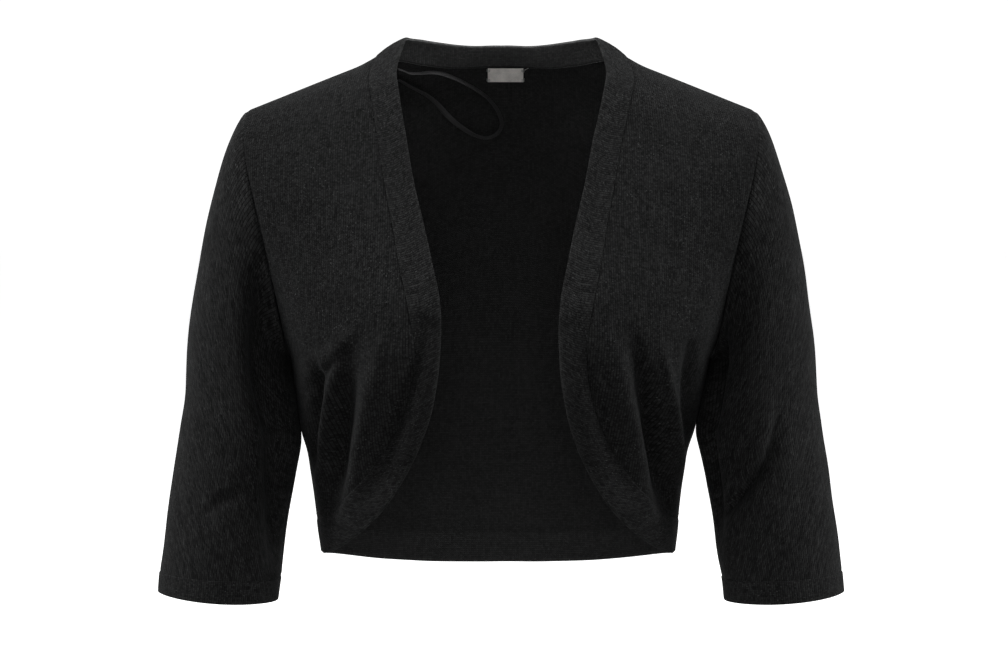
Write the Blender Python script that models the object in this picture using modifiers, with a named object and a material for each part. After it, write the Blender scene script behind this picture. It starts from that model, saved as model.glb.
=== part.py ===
"""Cropped open knit cardigan, filled out as worn: two fronts, a back, two sleeves and the ribbed trims.

Blender 4.5, metres, +Z up. The front faces -Y and the origin lies midway between the side neck points.
Every piece is a shell on one of two smooth forms: body(), round the trunk, and sleeve(), round the arm.
Lengths below are in millimetres; MM turns them into metres when a mesh is made.
"""

import bpy
import bmesh
import math
import numpy as np

MM = 0.001

# Cloth
PANEL_THICK = 1.5
RIB_THICK = 2.4
SEAM_GAP = 0.3
FRONT_BAND = 25.5
FRONT_BAND_LOW = 26.5
NECK_BAND = 23.0

# Colours
CHARCOAL = (0.016, 0.017, 0.017)
BLACK = (0.008, 0.008, 0.009)
LABEL_GREY = (0.30, 0.29, 0.28)

# Armhole: an upright oval through the shoulder point and the underarm point
ARMHOLE_HALF_DEPTH = 50.0
ARMHOLE_MIDDLE_Z = -149.0
ARMHOLE_HALF_HEIGHT = 93.0
UNDERARM_Z = ARMHOLE_MIDDLE_Z - ARMHOLE_HALF_HEIGHT
SIDE_LENGTH = 148.0

# Half width of the body at the armhole and side seam
# z, x
SIDE = (
    (-390, 133.8),
    (-374, 135.8),
    (-359, 137.5),
    (-343, 139.4),
    (-328, 141.6),
    (-313, 144.0),
    (-298, 148.8),
    (-276, 152.9),
    (-242, 158.5),
    (-228, 162.5),
    (-200, 168),
    (-165, 175),
    (-130, 183),
    (-100, 190),
    (-78, 193.5),
    (-56, 192),
)

# Lines round the body at height h: -2 the front hem, -1 the front at the underarm, 0 the shoulder seam,
# 1 the back at the underarm, 2 the back hem. Depth and height at the centre, and where the line turns.
# h, y, z, x_turn
LEVELS = (
    (-2.0, -90, -390, 134),
    (-1.6, -98, -330, 141),
    (-1.3, -107, -286, 150),
    (-1.0, -114, -242, 157),
    (-0.85, -113, -212, 151),
    (-0.7, -107, -180, 146),
    (-0.5, -88, -132, 141),
    (-0.3, -62, -72, 145),
    (-0.15, -35, -19, 130),
    (0.0, 10, 9, 100),
    (0.1, 33, 1.5, 105),
    (0.2, 51, -14, 120),
    (0.3, 65, -25, 135),
    (0.5, 87, -82, 143),
    (0.7, 96, -148, 146),
    (0.85, 93, -195, 151),
    (1.0, 85, -242, 157),
    (1.3, 76, -291, 150),
    (1.6, 72, -342, 141),
    (1.86, 76, -383, 136),
    (2.0, 80, -406, 134),
)
FULLNESS = 0.6
LEVEL_CURVE = 0.2

# The shoulder line lifts into the neck
NECK_RISE = 9.5
NECK_RISE_X = (112.0, 58.0)
NECK_RISE_H = 0.16

# Broad swellings of the fronts
# x, z, radius, height
SWELLINGS = ((82, -228, 72, 12),)

# Main folds, ridges with a height above 0 and troughs below, from a top end to a low end
# bow is how far the middle of the line bends towards the centre line, or backwards round a sleeve
# side, x_top, z_top, x_low, z_low, bow, half_width, height
FRONT_FOLDS = (
    (-1, 95, -213, 147, -267, 0, 8, -1.6),
    (-1, 137, -238, 140, -330, 0, 7, -3.2),
    (-1, 119, -226, 140, -348, -1, 6, 2.0),
    (-1, 108, -228, 129, -362, -2, 9, -6.2),
    (-1, 89, -208, 124, -368, 0, 9, 2.6),
    (-1, 56, -205, 98, -342, 3, 10, -4.4),
    (1, 92, -208, 128, -364, -4, 9, -6.5),
    (1, 115, -216, 140, -344, -1, 6, 2.4),
    (1, 140, -224, 142, -322, 0, 7, -3.4),
    (1, 84, -214, 122, -358, -1, 9, 2.4),
    (1, 57, -204, 98, -340, 3, 10, -3.0),
)
BACK_FOLDS = (
    (-1, 118, -236, 74, -330, 0, 12, -2.6),
    (-1, 60, -262, 52, -372, 0, 13, 2.2),
    (-1, 96, -300, 92, -376, 0, 10, 2.0),
    (1, 124, -246, 88, -346, 0, 12, -2.8),
    (1, 70, -280, 58, -376, 0, 12, 2.0),
    (1, 18, -250, 10, -366, 0, 14, -1.8),
)

# Free edge of the front band seen from the front, how wide the band lies there, and how far its edge rolls in
# x, z, width, roll
FRONT_EDGE = (
    (79.0, -25, 22.5, 0),
    (75.8, -45, 21.5, 0),
    (68.4, -77, 21.5, 0),
    (59.4, -121, 22.5, 0),
    (49.8, -164, 24.5, 1),
    (44.4, -193, 24.0, 3),
    (43.3, -222, 21.5, 6),
    (45.6, -254, 20.5, 8),
    (53.2, -290, 22.0, 7),
    (69.5, -328, 25.5, 4),
    (92.0, -360, 27.5, 1),
    (116.0, -381.5, 28.0, 0),
)
NECK_POINT_X = 72.6

# Free edge of the back neck band seen from above
# x, y
NECK_EDGE = ((0, 45.5), (20, 44), (40, 38), (57, 29), (69, 18))

# Grids
ARMHOLE_STEPS = 12
SIDE_STEPS = 10
FRONT_ACROSS = 15
SHOULDER_STEPS = 7
BAND_ACROSS = 3
NECK_STEPS = 5
HEM_ROWS = 2
CAP_STEPS = 7
SLEEVE_STEPS = 6
CUFF_STEPS = 2

BESIDE = 0.12

HEM_H = 1.86
SEAM_H = SEAM_GAP / 2 / 200
SEAM_T = 0.0014

# Sleeve rings below the armhole: centre, half width across and half depth, the rise of the ring's outer side
# over its centre, and how far its front and back hang below
# x, y, z, half_width, half_depth, rise, dip
RINGS = (
    (197.9, -14.0, -256.5, 39.7, 50.0, 4.6, 0.0),
    (196.5, -17.0, -276, 42.0, 49.5, 4.2, 0.0),
    (196.3, -18.5, -298, 45.9, 49.0, 3.7, 0.0),
    (201.2, -19.0, -329, 45.7, 48.0, 3.0, 0.0),
    (206.0, -19.5, -359, 45.5, 47.0, 2.4, 0.2),
    (210.1, -20.0, -389, 45.4, 46.0, 2.0, 0.6),
    (212.6, -20.0, -405.4, 45.0, 45.2, 2.0, 1.0),
    (214.3, -20.5, -422.2, 44.4, 44.4, 3.2, 1.8),
)
CUFF_RING = 6

# Directions in which the sleeve leaves the armhole, by the turn round it from the shoulder to the front
# turn_deg, x, y, z, reach
LEAVING = (
    (0, 0.80, 0.0, -0.60, 0.35),
    (45, 0.80, -0.12, -0.59, 0.42),
    (90, 0.72, -0.20, -0.66, 0.58),
    (135, 0.35, -0.08, -0.93, 0.70),
    (180, -0.05, 0.0, -1.0, 0.60),
)
SLEEVE_OFF_TOP = 0.9
SLEEVE_OFF_UNDER = 2.0

# turn_deg and z give the middle of each fold of a sleeve
# side, turn_top, z_top, turn_low, z_low, bow, half_width, height
SLEEVE_FOLDS = (
    (-1, 118, -331, 64, -360, 3, 9, -2.4),
    (-1, 112, -110, 162, -406, 9, 20, -8.0),
    (-1, 300, -300, 250, -345, 5, 11, -2.4),
    (1, 71, -242, 152, -362, 21, 10, -4.5),
    (1, 146, -120, 162, -384, 0, 14, -6.5),
    (1, 245, -290, 290, -352, -5, 11, -2.4),
)

# Hanger ribbon inside the back neck: a loop with both ends at the side neck
RIBBON_WIDTH = 4.4
# x, z
RIBBON_ROUTE = (
    (-81.5, -20.5),
    (-77, -22),
    (-72, -24),
    (-64, -24.3),
    (-55, -23.4),
    (-46, -24.3),
    (-37.5, -27.4),
    (-29, -32),
    (-20.5, -37),
    (-12, -43),
    (-5.5, -50),
    (-1, -58),
    (0.5, -65),
    (-2.5, -71.5),
    (-10.5, -75.5),
    (-19.5, -74),
    (-27, -70),
    (-35, -64.5),
    (-42.5, -57.5),
    (-49, -50),
    (-55.5, -43.8),
    (-64, -38.2),
    (-70.5, -34.5),
    (-77, -30.8),
    (-81.5, -28.5),
)
RIBBON_CLEAR = 1.1

# Bare woven label below the back neck seam
LABEL_X = (-10.5, 17.5)
LABEL_Z = (-32.2, -21.2)
LABEL_THICK = 0.8
LABEL_CLEAR = 1.2


def curve(table, column, at):
    """Smooth curve through one column of a table, over its first column."""
    rows = np.array(table, float)
    knots, values = rows[:, 0], rows[:, column]
    slopes = np.gradient(values, knots)
    at = np.clip(at, knots[0], knots[-1])
    cell = np.clip(np.searchsorted(knots, at, side="right") - 1, 0, len(knots) - 2)
    span = knots[cell + 1] - knots[cell]
    s = (at - knots[cell]) / span
    start = (2 * s**3 - 3 * s**2 + 1) * values[cell] + (s**3 - 2 * s**2 + s) * span * slopes[cell]
    end = (3 * s**2 - 2 * s**3) * values[cell + 1] + (s**3 - s**2) * span * slopes[cell + 1]
    return start + end


def stack(*parts):
    return np.stack(np.broadcast_arrays(*parts), axis=-1)


def unit(v):
    return v / np.linalg.norm(v, axis=-1, keepdims=True)


def body_edge(h):
    """Armhole and side seam of the +X half: shoulder point at h 0, underarm at 1, hem at 2, front below 0."""
    along = np.abs(h)
    turn = np.pi * np.minimum(along, 1)
    y = np.sign(h) * ARMHOLE_HALF_DEPTH * np.sin(turn)
    z = ARMHOLE_MIDDLE_Z + ARMHOLE_HALF_HEIGHT * np.cos(turn) - SIDE_LENGTH * np.maximum(along - 1, 0)
    return stack(curve(SIDE, 1, z), y, z)


def smooth_body(t, h):
    """The +X half of the trunk form, before its folds: t is 0 on the centre line and 1 at body_edge()."""
    y_mid = curve(LEVELS, 1, h)
    z_mid = curve(LEVELS, 2, h)
    x_turn = curve(LEVELS, 3, h)
    edge = body_edge(h)
    x_edge, y_edge, z_edge = edge[..., 0], edge[..., 1], edge[..., 2]
    second = 3 * t * (1 - t) ** 2
    third = 3 * t**2 * (1 - t)
    x = second * FULLNESS * x_turn + third * (x_edge - FULLNESS * (x_edge - x_turn)) + t**3 * x_edge
    y = ((1 - t) ** 3 + second) * y_mid + third * (y_edge - FULLNESS * (y_edge - y_mid)) + t**3 * y_edge
    s = x / x_edge
    straight = (np.sqrt(s**2 + LEVEL_CURVE**2) - LEVEL_CURVE) / (math.hypot(1, LEVEL_CURVE) - LEVEL_CURVE)
    dip = np.clip(np.abs(h) - 1, 0, 1)
    z = z_mid + (z_edge - z_mid) * (straight * (1 - dip) + s**3 * dip)
    near_neck = np.clip((NECK_RISE_X[0] - x) / (NECK_RISE_X[0] - NECK_RISE_X[1]), 0, 1)
    rise = NECK_RISE * near_neck**2 * (3 - 2 * near_neck)
    z = z + rise * np.exp(-((h / NECK_RISE_H) ** 2))
    return stack(x, y, z)


def fold(x, z, x_top, z_top, x_low, z_low, bow, half_width, height):
    """A soft ridge or trough along a bowed line, which fades at both ends."""
    dx, dz = x_low - x_top, z_low - z_top
    length = math.hypot(dx, dz)
    along = ((x - x_top) * dx + (z - z_top) * dz) / length**2
    off = ((x - x_top) * dz - (z - z_top) * dx) / length
    swing = np.sin(np.pi * np.clip(along, 0, 1))
    off = off - bow * swing
    ends = swing**0.8
    return height * ends * np.exp(-((off / half_width) ** 2))


def swelling(x, z, h):
    """How far the broad swellings of the fronts stand out of the trunk form."""
    total = np.zeros_like(x)
    for x_top, z_top, radius, height in SWELLINGS:
        total = total + height * np.exp(-((x - x_top) ** 2 + (z - z_top) ** 2) / radius**2)
    return total * (h < 0)


def body_relief(x, z, h, side):
    """How far the folds stand out of the trunk form."""
    front = np.zeros_like(x)
    for row in FRONT_FOLDS:
        front = front + fold(x, z, *row[1:]) * (side == row[0])
    back = np.zeros_like(x)
    for row in BACK_FOLDS:
        back = back + fold(x, z, *row[1:]) * (side == row[0])
    return np.where(h < 0, front, back)


def body(t, h, side=1, out=0.0):
    """Points of the trunk form on one side, moved out along its normal by out."""
    t, h, side = np.broadcast_arrays(np.asarray(t, float), np.asarray(h, float), side)
    step = 1e-4
    point = smooth_body(t, h)
    t_low, t_high = np.maximum(t - step, 0), np.minimum(t + step, 1)
    h_low, h_high = np.maximum(h - step, -2), np.minimum(h + step, 2)
    across = smooth_body(t_high, h) - smooth_body(t_low, h)
    down = smooth_body(t, h_high) - smooth_body(t, h_low)
    normal = unit(np.cross(across, down))
    inwards = np.clip((1 - t) / 0.3, 0, 1)
    fade = inwards**2 * (3 - 2 * inwards)
    point = point + normal * (swelling(point[..., 0], point[..., 2], h) * fade)[..., None]
    relief = body_relief(point[..., 0], point[..., 2], h, side) * fade
    point = point + normal * (relief + out)[..., None]
    return point * stack(side, 1.0, 1.0)


def place_on_body(x, other, axis, guess, side):
    """Finds t and h where the trunk form has this x and, on the given axis, this other coordinate."""
    t, h = guess
    for _ in range(25):
        here = body(t, h, side)
        miss = np.array([x - abs(here[0]), other - here[axis]])
        by_t = (body(t + 1e-3, h, side) - here) / 1e-3
        by_h = (body(t, h + 1e-3, side) - here) / 1e-3
        slope = np.array([[abs(by_t[0]), side * by_h[0]], [by_t[axis], by_h[axis]]])
        move = np.clip(np.linalg.solve(slope, miss), -0.05, 0.05)
        t, h = t + move[0], h + move[1]
    return t, h


def walk(t, h, along, side, width):
    """Walks straight across the trunk form from an edge, at right angles to it; width in mm."""
    steps = 5
    heading = None
    for _ in range(steps):
        here = body(t, h, side)
        by_t = (body(t + 1e-3, h, side) - here) / 1e-3
        by_h = (body(t, h + 1e-3, side) - here) / 1e-3
        normal = unit(np.cross(by_t, by_h))
        if heading is None:
            heading = np.cross(normal, along)
            heading = heading * np.sign(heading @ by_t)
        heading = unit(heading - normal * (heading @ normal))
        move = np.linalg.lstsq(np.stack([by_t, by_h], axis=1), heading * width / steps, rcond=None)[0]
        t, h = t + move[0], h + move[1]
    return t, h


def slide(t, h, axis, side, width, sign=1):
    """Goes width mm along a line of constant h (axis 0) or constant t (axis 1)."""
    steps = 10
    for _ in range(steps):
        here = body(t, h, side)
        ahead = body(t + 1e-3 * (axis == 0), h + 1e-3 * (axis == 1), side)
        move = sign * width / steps / np.linalg.norm(ahead - here) * 1e-3
        t, h = t + move * (axis == 0), h + move * (axis == 1)
    return t, h


def resample(rows, count):
    """Smooth curve through rows of numbers, read at count + 1 points evenly spaced in body lengths."""
    rows = np.array(rows, float)
    spots = body(rows[:, 0], rows[:, 1])
    gaps = np.linalg.norm(np.diff(spots, axis=0), axis=1)
    lengths = np.concatenate([[0], np.cumsum(gaps)])
    table = np.column_stack([lengths, rows])
    at = np.linspace(0, lengths[-1], count + 1)
    return np.column_stack([curve(table, column + 1, at) for column in range(rows.shape[1])])


def front_edge(side, count):
    """Rows t, h, width, roll down the free edge of a front band, from the shoulder to the side seam."""
    t = place_on_shoulder(NECK_POINT_X)
    rows = [(t, -SEAM_H, FRONT_BAND, 0.0)]
    guess = (t, -0.1)
    for x, z, width, roll in FRONT_EDGE:
        guess = place_on_body(x, z, 2, guess, side)
        rows.append((guess[0], guess[1], width, roll))
    rows.append((1 - SEAM_T, -2.0, FRONT_BAND_LOW, 0.0))
    return resample(rows, count)


def neck_edge(count):
    """Rows t, h, width, roll along the back neck's free edge, from the centre to the shoulder."""
    rows = []
    guess = (0.02, 0.15)
    for x, y in NECK_EDGE:
        guess = place_on_body(x, y, 1, guess, 1) if x else (0.0, centre_h(y))
        rows.append((guess[0], guess[1], NECK_BAND, 0.0))
    rows.append((place_on_shoulder(NECK_POINT_X), SEAM_H, NECK_BAND, 0.0))
    return resample(rows, count)


def centre_h(y):
    """Height h at which the back's centre line has this depth, above the shoulder blades."""
    h = np.linspace(0, 0.4, 400)
    return float(np.interp(y, curve(LEVELS, 1, h), h))


def place_on_shoulder(x):
    t = np.linspace(0, 1, 800)
    return float(np.interp(x, body(t, 0.0)[:, 0], t))


def seam_from_edge(edge, side, extra):
    """The seam line of a band, its own width from the free edge, plus extra mm."""
    spots = body(edge[:, 0], edge[:, 1], side)
    along = unit(np.gradient(spots, axis=0))
    rows = []
    last = len(edge) - 1
    for i, (t, h, width, roll) in enumerate(edge):
        if i == 0 and h < 0:
            rows.append(slide(t, h, 0, side, width + extra))
        elif i == last and h < 0:
            rows.append(slide(t, h, 1, side, width + extra))
        elif i == last:
            rows.append(slide(t, h, 0, side, width + extra))
        elif i == 0:
            rows.append(slide(t, h, 1, side, width + extra))
        else:
            rows.append(walk(t, h, along[i], side, width + extra))
    return np.array(rows)


def band_grid(edge, side, columns):
    """Rows across a band, from its free edge to its seam, with the edge rolled in."""
    seam = seam_from_edge(edge, side, -SEAM_GAP / 2)
    if edge[0, 1] < 0:
        edge, seam = beside_seam(edge), beside_seam(seam)
    else:
        edge, seam = beside_seam(edge[::-1])[::-1], beside_seam(seam[::-1])[::-1]
    rows = []
    for start, end in zip(edge, seam):
        s = np.linspace(0, 1, columns + 1)
        t = start[0] + (end[0] - start[0]) * s
        h = start[1] + (end[1] - start[1]) * s
        rows.append(body(t, h, side, -start[3] * (1 - s) ** 2))
    return np.array(rows)


def front_rows():
    return ARMHOLE_STEPS + SIDE_STEPS


def front_grid(side):
    """Front panel: rows from the band's seam out to the shoulder, armhole and side seam."""
    edge = front_edge(side, front_rows())
    seam = seam_from_edge(edge, side, SEAM_GAP / 2)
    low = seam[-1, 1] + 0.03
    armhole = -np.arange(ARMHOLE_STEPS) / ARMHOLE_STEPS
    outer = np.concatenate([armhole, np.linspace(-1, low, SIDE_STEPS + 1)])
    outer[0] = -SEAM_H
    seam = beside_seam(seam)
    outer = beside_seam(outer)
    s = np.linspace(0, 1, FRONT_ACROSS + 1)
    rows = []
    for (t, h), h_out in zip(seam, outer):
        rows.append(body(t + (1 - SEAM_T - t) * s, h + (h_out - h) * s, side))
    return np.array(rows)


def beside_seam(rows):
    """Adds a row just after the first, so the cloth's end stands square to the smooth form."""
    return np.concatenate([rows[:1], rows[:1] + (rows[1:2] - rows[:1]) * BESIDE, rows[1:]])


def back_top():
    """Top line of the right half of the back panel: t, h from the centre round the neck seam to the armhole."""
    seam = seam_from_edge(neck_edge(NECK_STEPS), 1, SEAM_GAP / 2)
    shoulder_t = seam[-1, 0] + (1 - SEAM_T - seam[-1, 0]) * np.linspace(0, 1, SHOULDER_STEPS + 1)[1:]
    shoulder = np.column_stack([shoulder_t, np.full(SHOULDER_STEPS, SEAM_H)])
    return np.concatenate([seam, shoulder])


def both_sides(half):
    """Signs and rows for the whole width, from the -X end through the centre to the +X end."""
    rows = np.concatenate([half[:0:-1], half])
    signs = np.concatenate([np.full(len(half) - 1, -1.0), np.full(len(half), 1.0)])
    return signs, rows


def foot_t(t):
    """Columns of the back at its foot, spread evenly across each half."""
    half = np.linspace(0, t[-1], (len(t) + 1) // 2)
    return np.concatenate([half[:0:-1], half])


def back_grid():
    signs, top = both_sides(back_top())
    armhole = np.arange(ARMHOLE_STEPS) / ARMHOLE_STEPS
    levels = np.concatenate([armhole, np.linspace(1, HEM_H - 0.001, SIDE_STEPS + 1)])
    rows = []
    for v in beside_seam(levels) / levels[-1]:
        h = top[:, 1] + (levels[-1] - top[:, 1]) * v
        rows.append(body(top[:, 0] + (foot_t(top[:, 0]) - top[:, 0]) * v, h, signs))
    return np.array(rows)


def hem_grid():
    signs, top = both_sides(back_top())
    levels = np.linspace(HEM_H + 0.001, 2.0, HEM_ROWS + 1)
    return np.array([body(foot_t(top[:, 0]), h, signs) for h in levels])


def neck_grid():
    """Neck band: both halves of its rows, from the free edge out to the seam."""
    half = band_grid(neck_edge(NECK_STEPS), 1, BAND_ACROSS)
    mirrored = half[:0:-1] * np.array([-1.0, 1.0, 1.0])
    return np.concatenate([mirrored, half])


def armhole_point(turn):
    """Armhole edge at an angle in radians from the shoulder point, round by the front."""
    h = -turn / np.pi
    h = np.where(h < -1, h + 2, h)
    return body_edge(h)


def ring_point(place, turn):
    """Point of the sleeve's rings: place counts down the RINGS table."""
    rows = [(i, *row) for i, row in enumerate(RINGS)]
    x, y, z, half_width, half_depth, rise, dip = (curve(rows, column, place) for column in range(1, 8))
    return stack(
        x + half_width * np.cos(turn),
        y - half_depth * np.sin(turn),
        z + rise * np.cos(turn) - dip * np.sin(turn) ** 2,
    )


def smooth_sleeve(place, turn):
    """The +X sleeve form: place is -1 at the armhole, 0 at the first ring, and then counts down the rings."""
    place, turn = np.broadcast_arrays(np.asarray(place, float), np.asarray(turn, float))
    top = (1 + np.cos(turn)) / 2
    off = SLEEVE_OFF_UNDER + (SLEEVE_OFF_TOP - SLEEVE_OFF_UNDER) * top
    start = armhole_point(turn) + stack(off, 0.0, 0.0)
    end = ring_point(0.0, turn)
    length = np.linalg.norm(end - start, axis=-1, keepdims=True)
    from_top = np.degrees(np.where(turn > np.pi, 2 * np.pi - turn, turn))
    front = np.where(turn > np.pi, -1.0, 1.0)
    leave = unit(stack(curve(LEAVING, 1, from_top), front * curve(LEAVING, 2, from_top), curve(LEAVING, 3, from_top)))
    reach = curve(LEAVING, 4, from_top)[..., None]
    arrive = unit(ring_point(0.5, turn) - end)
    v = np.clip(place + 1, 0, 1)[..., None]
    cap = (
        (2 * v**3 - 3 * v**2 + 1) * start
        + (v**3 - 2 * v**2 + v) * leave * reach * length
        + (3 * v**2 - 2 * v**3) * end
        + (v**3 - v**2) * arrive * length
    )
    return np.where(place[..., None] < 0, cap, ring_point(np.maximum(place, 0), turn))


def sleeve_relief(turn, z, side):
    """Folds of a sleeve, measured round it in mm from the shoulder line."""
    relief = np.zeros_like(z)
    round_mm = 47.0
    for row_side, turn_top, z_top, turn_low, z_low, *rest in SLEEVE_FOLDS:
        a, b = math.radians(turn_top) * round_mm, math.radians(turn_low) * round_mm
        relief = relief + fold(turn * round_mm, z, a, z_top, b, z_low, *rest) * (side == row_side)
    return relief


def sleeve(place, turn, side, out=0.0):
    """Points of the sleeve form on one side, moved out along its normal by out."""
    place, turn = np.broadcast_arrays(np.asarray(place, float), np.asarray(turn, float))
    step = 1e-4
    point = smooth_sleeve(place, turn)
    round_way = smooth_sleeve(place, (turn + step) % (2 * np.pi)) - smooth_sleeve(place, (turn - step) % (2 * np.pi))
    low = np.maximum(place - step, -1)
    high = np.minimum(place + step, len(RINGS) - 1)
    down = smooth_sleeve(high, turn) - smooth_sleeve(low, turn)
    normal = unit(np.cross(round_way, down))
    relief = sleeve_relief(turn, point[..., 2], side)
    point = point + normal * (relief + out)[..., None]
    return point * np.array([side, 1.0, 1.0])


def sleeve_grid(side):
    turns = np.linspace(0, 2 * np.pi, 2 * ARMHOLE_STEPS + 1)[:-1]
    places = np.concatenate([
        np.linspace(-1, 0, CAP_STEPS + 1),
        np.linspace(0, CUFF_RING - 0.009, SLEEVE_STEPS + 1)[1:],
    ])
    return sleeve(places[:, None], turns[None, :], side)


def cuff_grid(side):
    turns = np.linspace(0, 2 * np.pi, 2 * ARMHOLE_STEPS + 1)[:-1]
    places = np.linspace(CUFF_RING + 0.009, CUFF_RING + 1, CUFF_STEPS + 1)
    return sleeve(places[:, None], turns[None, :], side)


def inside_back(x, z, inwards):
    """Points inside the back, in from the middle of its cloth, where it has this x and z."""
    points = []
    guess = (0.3, 0.4)
    for one_x, one_z in zip(x, z):
        side = -1 if one_x < 0 else 1
        t, h = place_on_body(abs(one_x), one_z, 2, guess, side)
        guess = (t, h)
        points.append(body(t, h, side, -inwards))
    return np.array(points)


def dress(obj, colour, roughness):
    material = bpy.data.materials.new(obj.name)
    material.use_nodes = True
    shader = material.node_tree.nodes["Principled BSDF"]
    shader.inputs["Base Color"].default_value = (*colour, 1.0)
    shader.inputs["Roughness"].default_value = roughness
    shader.inputs["Metallic"].default_value = 0.0
    obj.data.materials.append(material)


def shell(name, grid, thick, colour, closed=False):
    """Cloth of the given thickness on a grid of points; a closed grid joins its last column to its first."""
    mesh = bpy.data.meshes.new(name)
    net = bmesh.new()
    rows = [[net.verts.new(point * MM) for point in row] for row in grid]
    columns = len(rows[0])
    for upper, lower in zip(rows, rows[1:]):
        for j in range(columns if closed else columns - 1):
            k = (j + 1) % columns
            net.faces.new((upper[j], upper[k], lower[k], lower[j]))
    bmesh.ops.recalc_face_normals(net, faces=net.faces)
    net.to_mesh(mesh)
    net.free()
    mesh.shade_smooth()
    obj = bpy.data.objects.new(name, mesh)
    cardigan.objects.link(obj)
    cloth = obj.modifiers.new("thickness", "SOLIDIFY")
    cloth.thickness = thick * MM
    cloth.offset = 0.0
    cloth.use_even_offset = False
    dress(obj, colour, 0.9)
    return obj


def hanger_loop():
    """The ribbon's stand-in: a tube along the loop, just inside the back."""
    route = np.array(RIBBON_ROUTE, float)
    lengths = np.concatenate([[0], np.cumsum(np.linalg.norm(np.diff(route, axis=0), axis=1))])
    table = np.column_stack([lengths, route])
    at = np.linspace(0, lengths[-1], int(lengths[-1] / (2.3 * RIBBON_WIDTH)) + 1)
    inwards = PANEL_THICK / 2 + RIBBON_CLEAR + RIBBON_WIDTH / 2
    points = inside_back(curve(table, 1, at), curve(table, 2, at), inwards)
    line = bpy.data.curves.new("hanger_loop", "CURVE")
    line.dimensions = "3D"
    line.bevel_depth = RIBBON_WIDTH / 2 * MM
    line.bevel_resolution = 2
    line.use_fill_caps = True
    spline = line.splines.new("POLY")
    spline.points.add(len(points) - 1)
    for target, point in zip(spline.points, points):
        target.co = (*(point * MM), 1.0)
    obj = bpy.data.objects.new("hanger_loop", line)
    cardigan.objects.link(obj)
    dress(obj, BLACK, 0.5)
    return obj


def neck_label():
    """The label's place, left bare."""
    x = np.linspace(*LABEL_X, 7)
    z = np.linspace(*LABEL_Z, 4)
    inwards = PANEL_THICK / 2 + LABEL_CLEAR + LABEL_THICK / 2
    grid = np.array([inside_back(x, np.full(len(x), height), inwards) for height in z])
    return shell("neck_label", grid, LABEL_THICK, LABEL_GREY)


for old in list(bpy.data.objects):
    bpy.data.objects.remove(old)
cardigan = bpy.data.collections.new("cropped_open_cardigan")
bpy.context.scene.collection.children.link(cardigan)

shell("back_panel", back_grid(), PANEL_THICK, CHARCOAL)
shell("band_back_neck", neck_grid(), RIB_THICK, CHARCOAL)
shell("hem_band_back", hem_grid(), RIB_THICK, CHARCOAL)
for word, side in (("left", 1), ("right", -1)):
    band = band_grid(front_edge(side, front_rows()), side, BAND_ACROSS)
    shell(f"front_{word}", front_grid(side), PANEL_THICK, CHARCOAL)
    shell(f"band_front_{word}", band, RIB_THICK, CHARCOAL)
    shell(f"sleeve_{word}", sleeve_grid(side), PANEL_THICK, CHARCOAL, closed=True)
    shell(f"cuff_{word}", cuff_grid(side), RIB_THICK, CHARCOAL, closed=True)
hanger_loop()
neck_label()
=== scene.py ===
"""Dresses the cropped open cardigan: knit panels, rib bands, seams, ribbon and bare label, in a pale studio.

Every piece is fine cloth on the same two smooth forms as the solids: body(), round the trunk, and sleeve(),
round the arm. Lengths are in millimetres until a mesh is made; the front faces -Y and +Z is up.
"""

import math

import bpy
import numpy as np
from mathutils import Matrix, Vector


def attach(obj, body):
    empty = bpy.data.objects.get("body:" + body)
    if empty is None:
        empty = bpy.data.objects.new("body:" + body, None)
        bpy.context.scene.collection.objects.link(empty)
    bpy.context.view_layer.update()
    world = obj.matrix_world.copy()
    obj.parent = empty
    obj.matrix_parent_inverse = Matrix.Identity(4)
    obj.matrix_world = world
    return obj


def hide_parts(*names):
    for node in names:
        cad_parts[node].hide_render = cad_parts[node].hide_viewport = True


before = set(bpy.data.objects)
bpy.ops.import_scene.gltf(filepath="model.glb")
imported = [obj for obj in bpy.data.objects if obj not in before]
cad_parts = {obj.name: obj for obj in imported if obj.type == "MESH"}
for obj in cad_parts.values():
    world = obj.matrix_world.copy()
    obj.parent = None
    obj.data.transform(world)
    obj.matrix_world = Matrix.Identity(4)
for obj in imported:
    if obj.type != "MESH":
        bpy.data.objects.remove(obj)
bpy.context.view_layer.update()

MM = 0.001

# Cloth
PANEL_THICK = 1.5
RIB_THICK = 2.4
# Widths of the rib bands, and how far a panel runs on under a band sewn to it
FRONT_BAND = 25.5
FRONT_BAND_LOW = 26.5
NECK_BAND = 23.0
HEM_BAND = 20.5
CUFF_BAND = 17.0
UNDER_BAND = 1.1
SEAM_DITCH = 0.8
SEAM_DITCH_WIDTH = 1.6
# How high the front and neck bands stand where they meet on the shoulder, and how far along them
SHOULDER_DOME = 1.5
SHOULDER_DOME_REACH = 17.0
# Slow unevenness along a band: its height and the lengths of its two waves
BAND_SWELL = 0.22
BAND_SWELL_LENGTHS = (23.0, 9.7)
# How far in from a folded edge the yarn is painted paler, a painted highlight on the fold, and below a
# panel's top how far down and how much, painted top light
EDGE_HIGHLIGHT = 1.6
PANEL_TOP_HIGHLIGHT = (14, 0.35)
SLEEVE_TOP_HIGHLIGHT = (16, 0.3)

# Armhole: an upright oval through the shoulder point and the underarm point
ARMHOLE_HALF_DEPTH = 50.0
ARMHOLE_MIDDLE_Z = -149.0
ARMHOLE_HALF_HEIGHT = 93.0
SIDE_LENGTH = 151.3

# Half width of the body at the armhole and side seam
# z, x
SIDE = (
    (-390, 133.8), (-374, 135.8), (-359, 137.5), (-343, 139.4), (-328, 141.6), (-313, 144.0),
    (-298, 148.8), (-276, 152.9), (-242, 158.5), (-228, 162.5), (-200, 168), (-165, 175),
    (-130, 183), (-100, 190), (-78, 193.5), (-56, 192),
)

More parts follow.
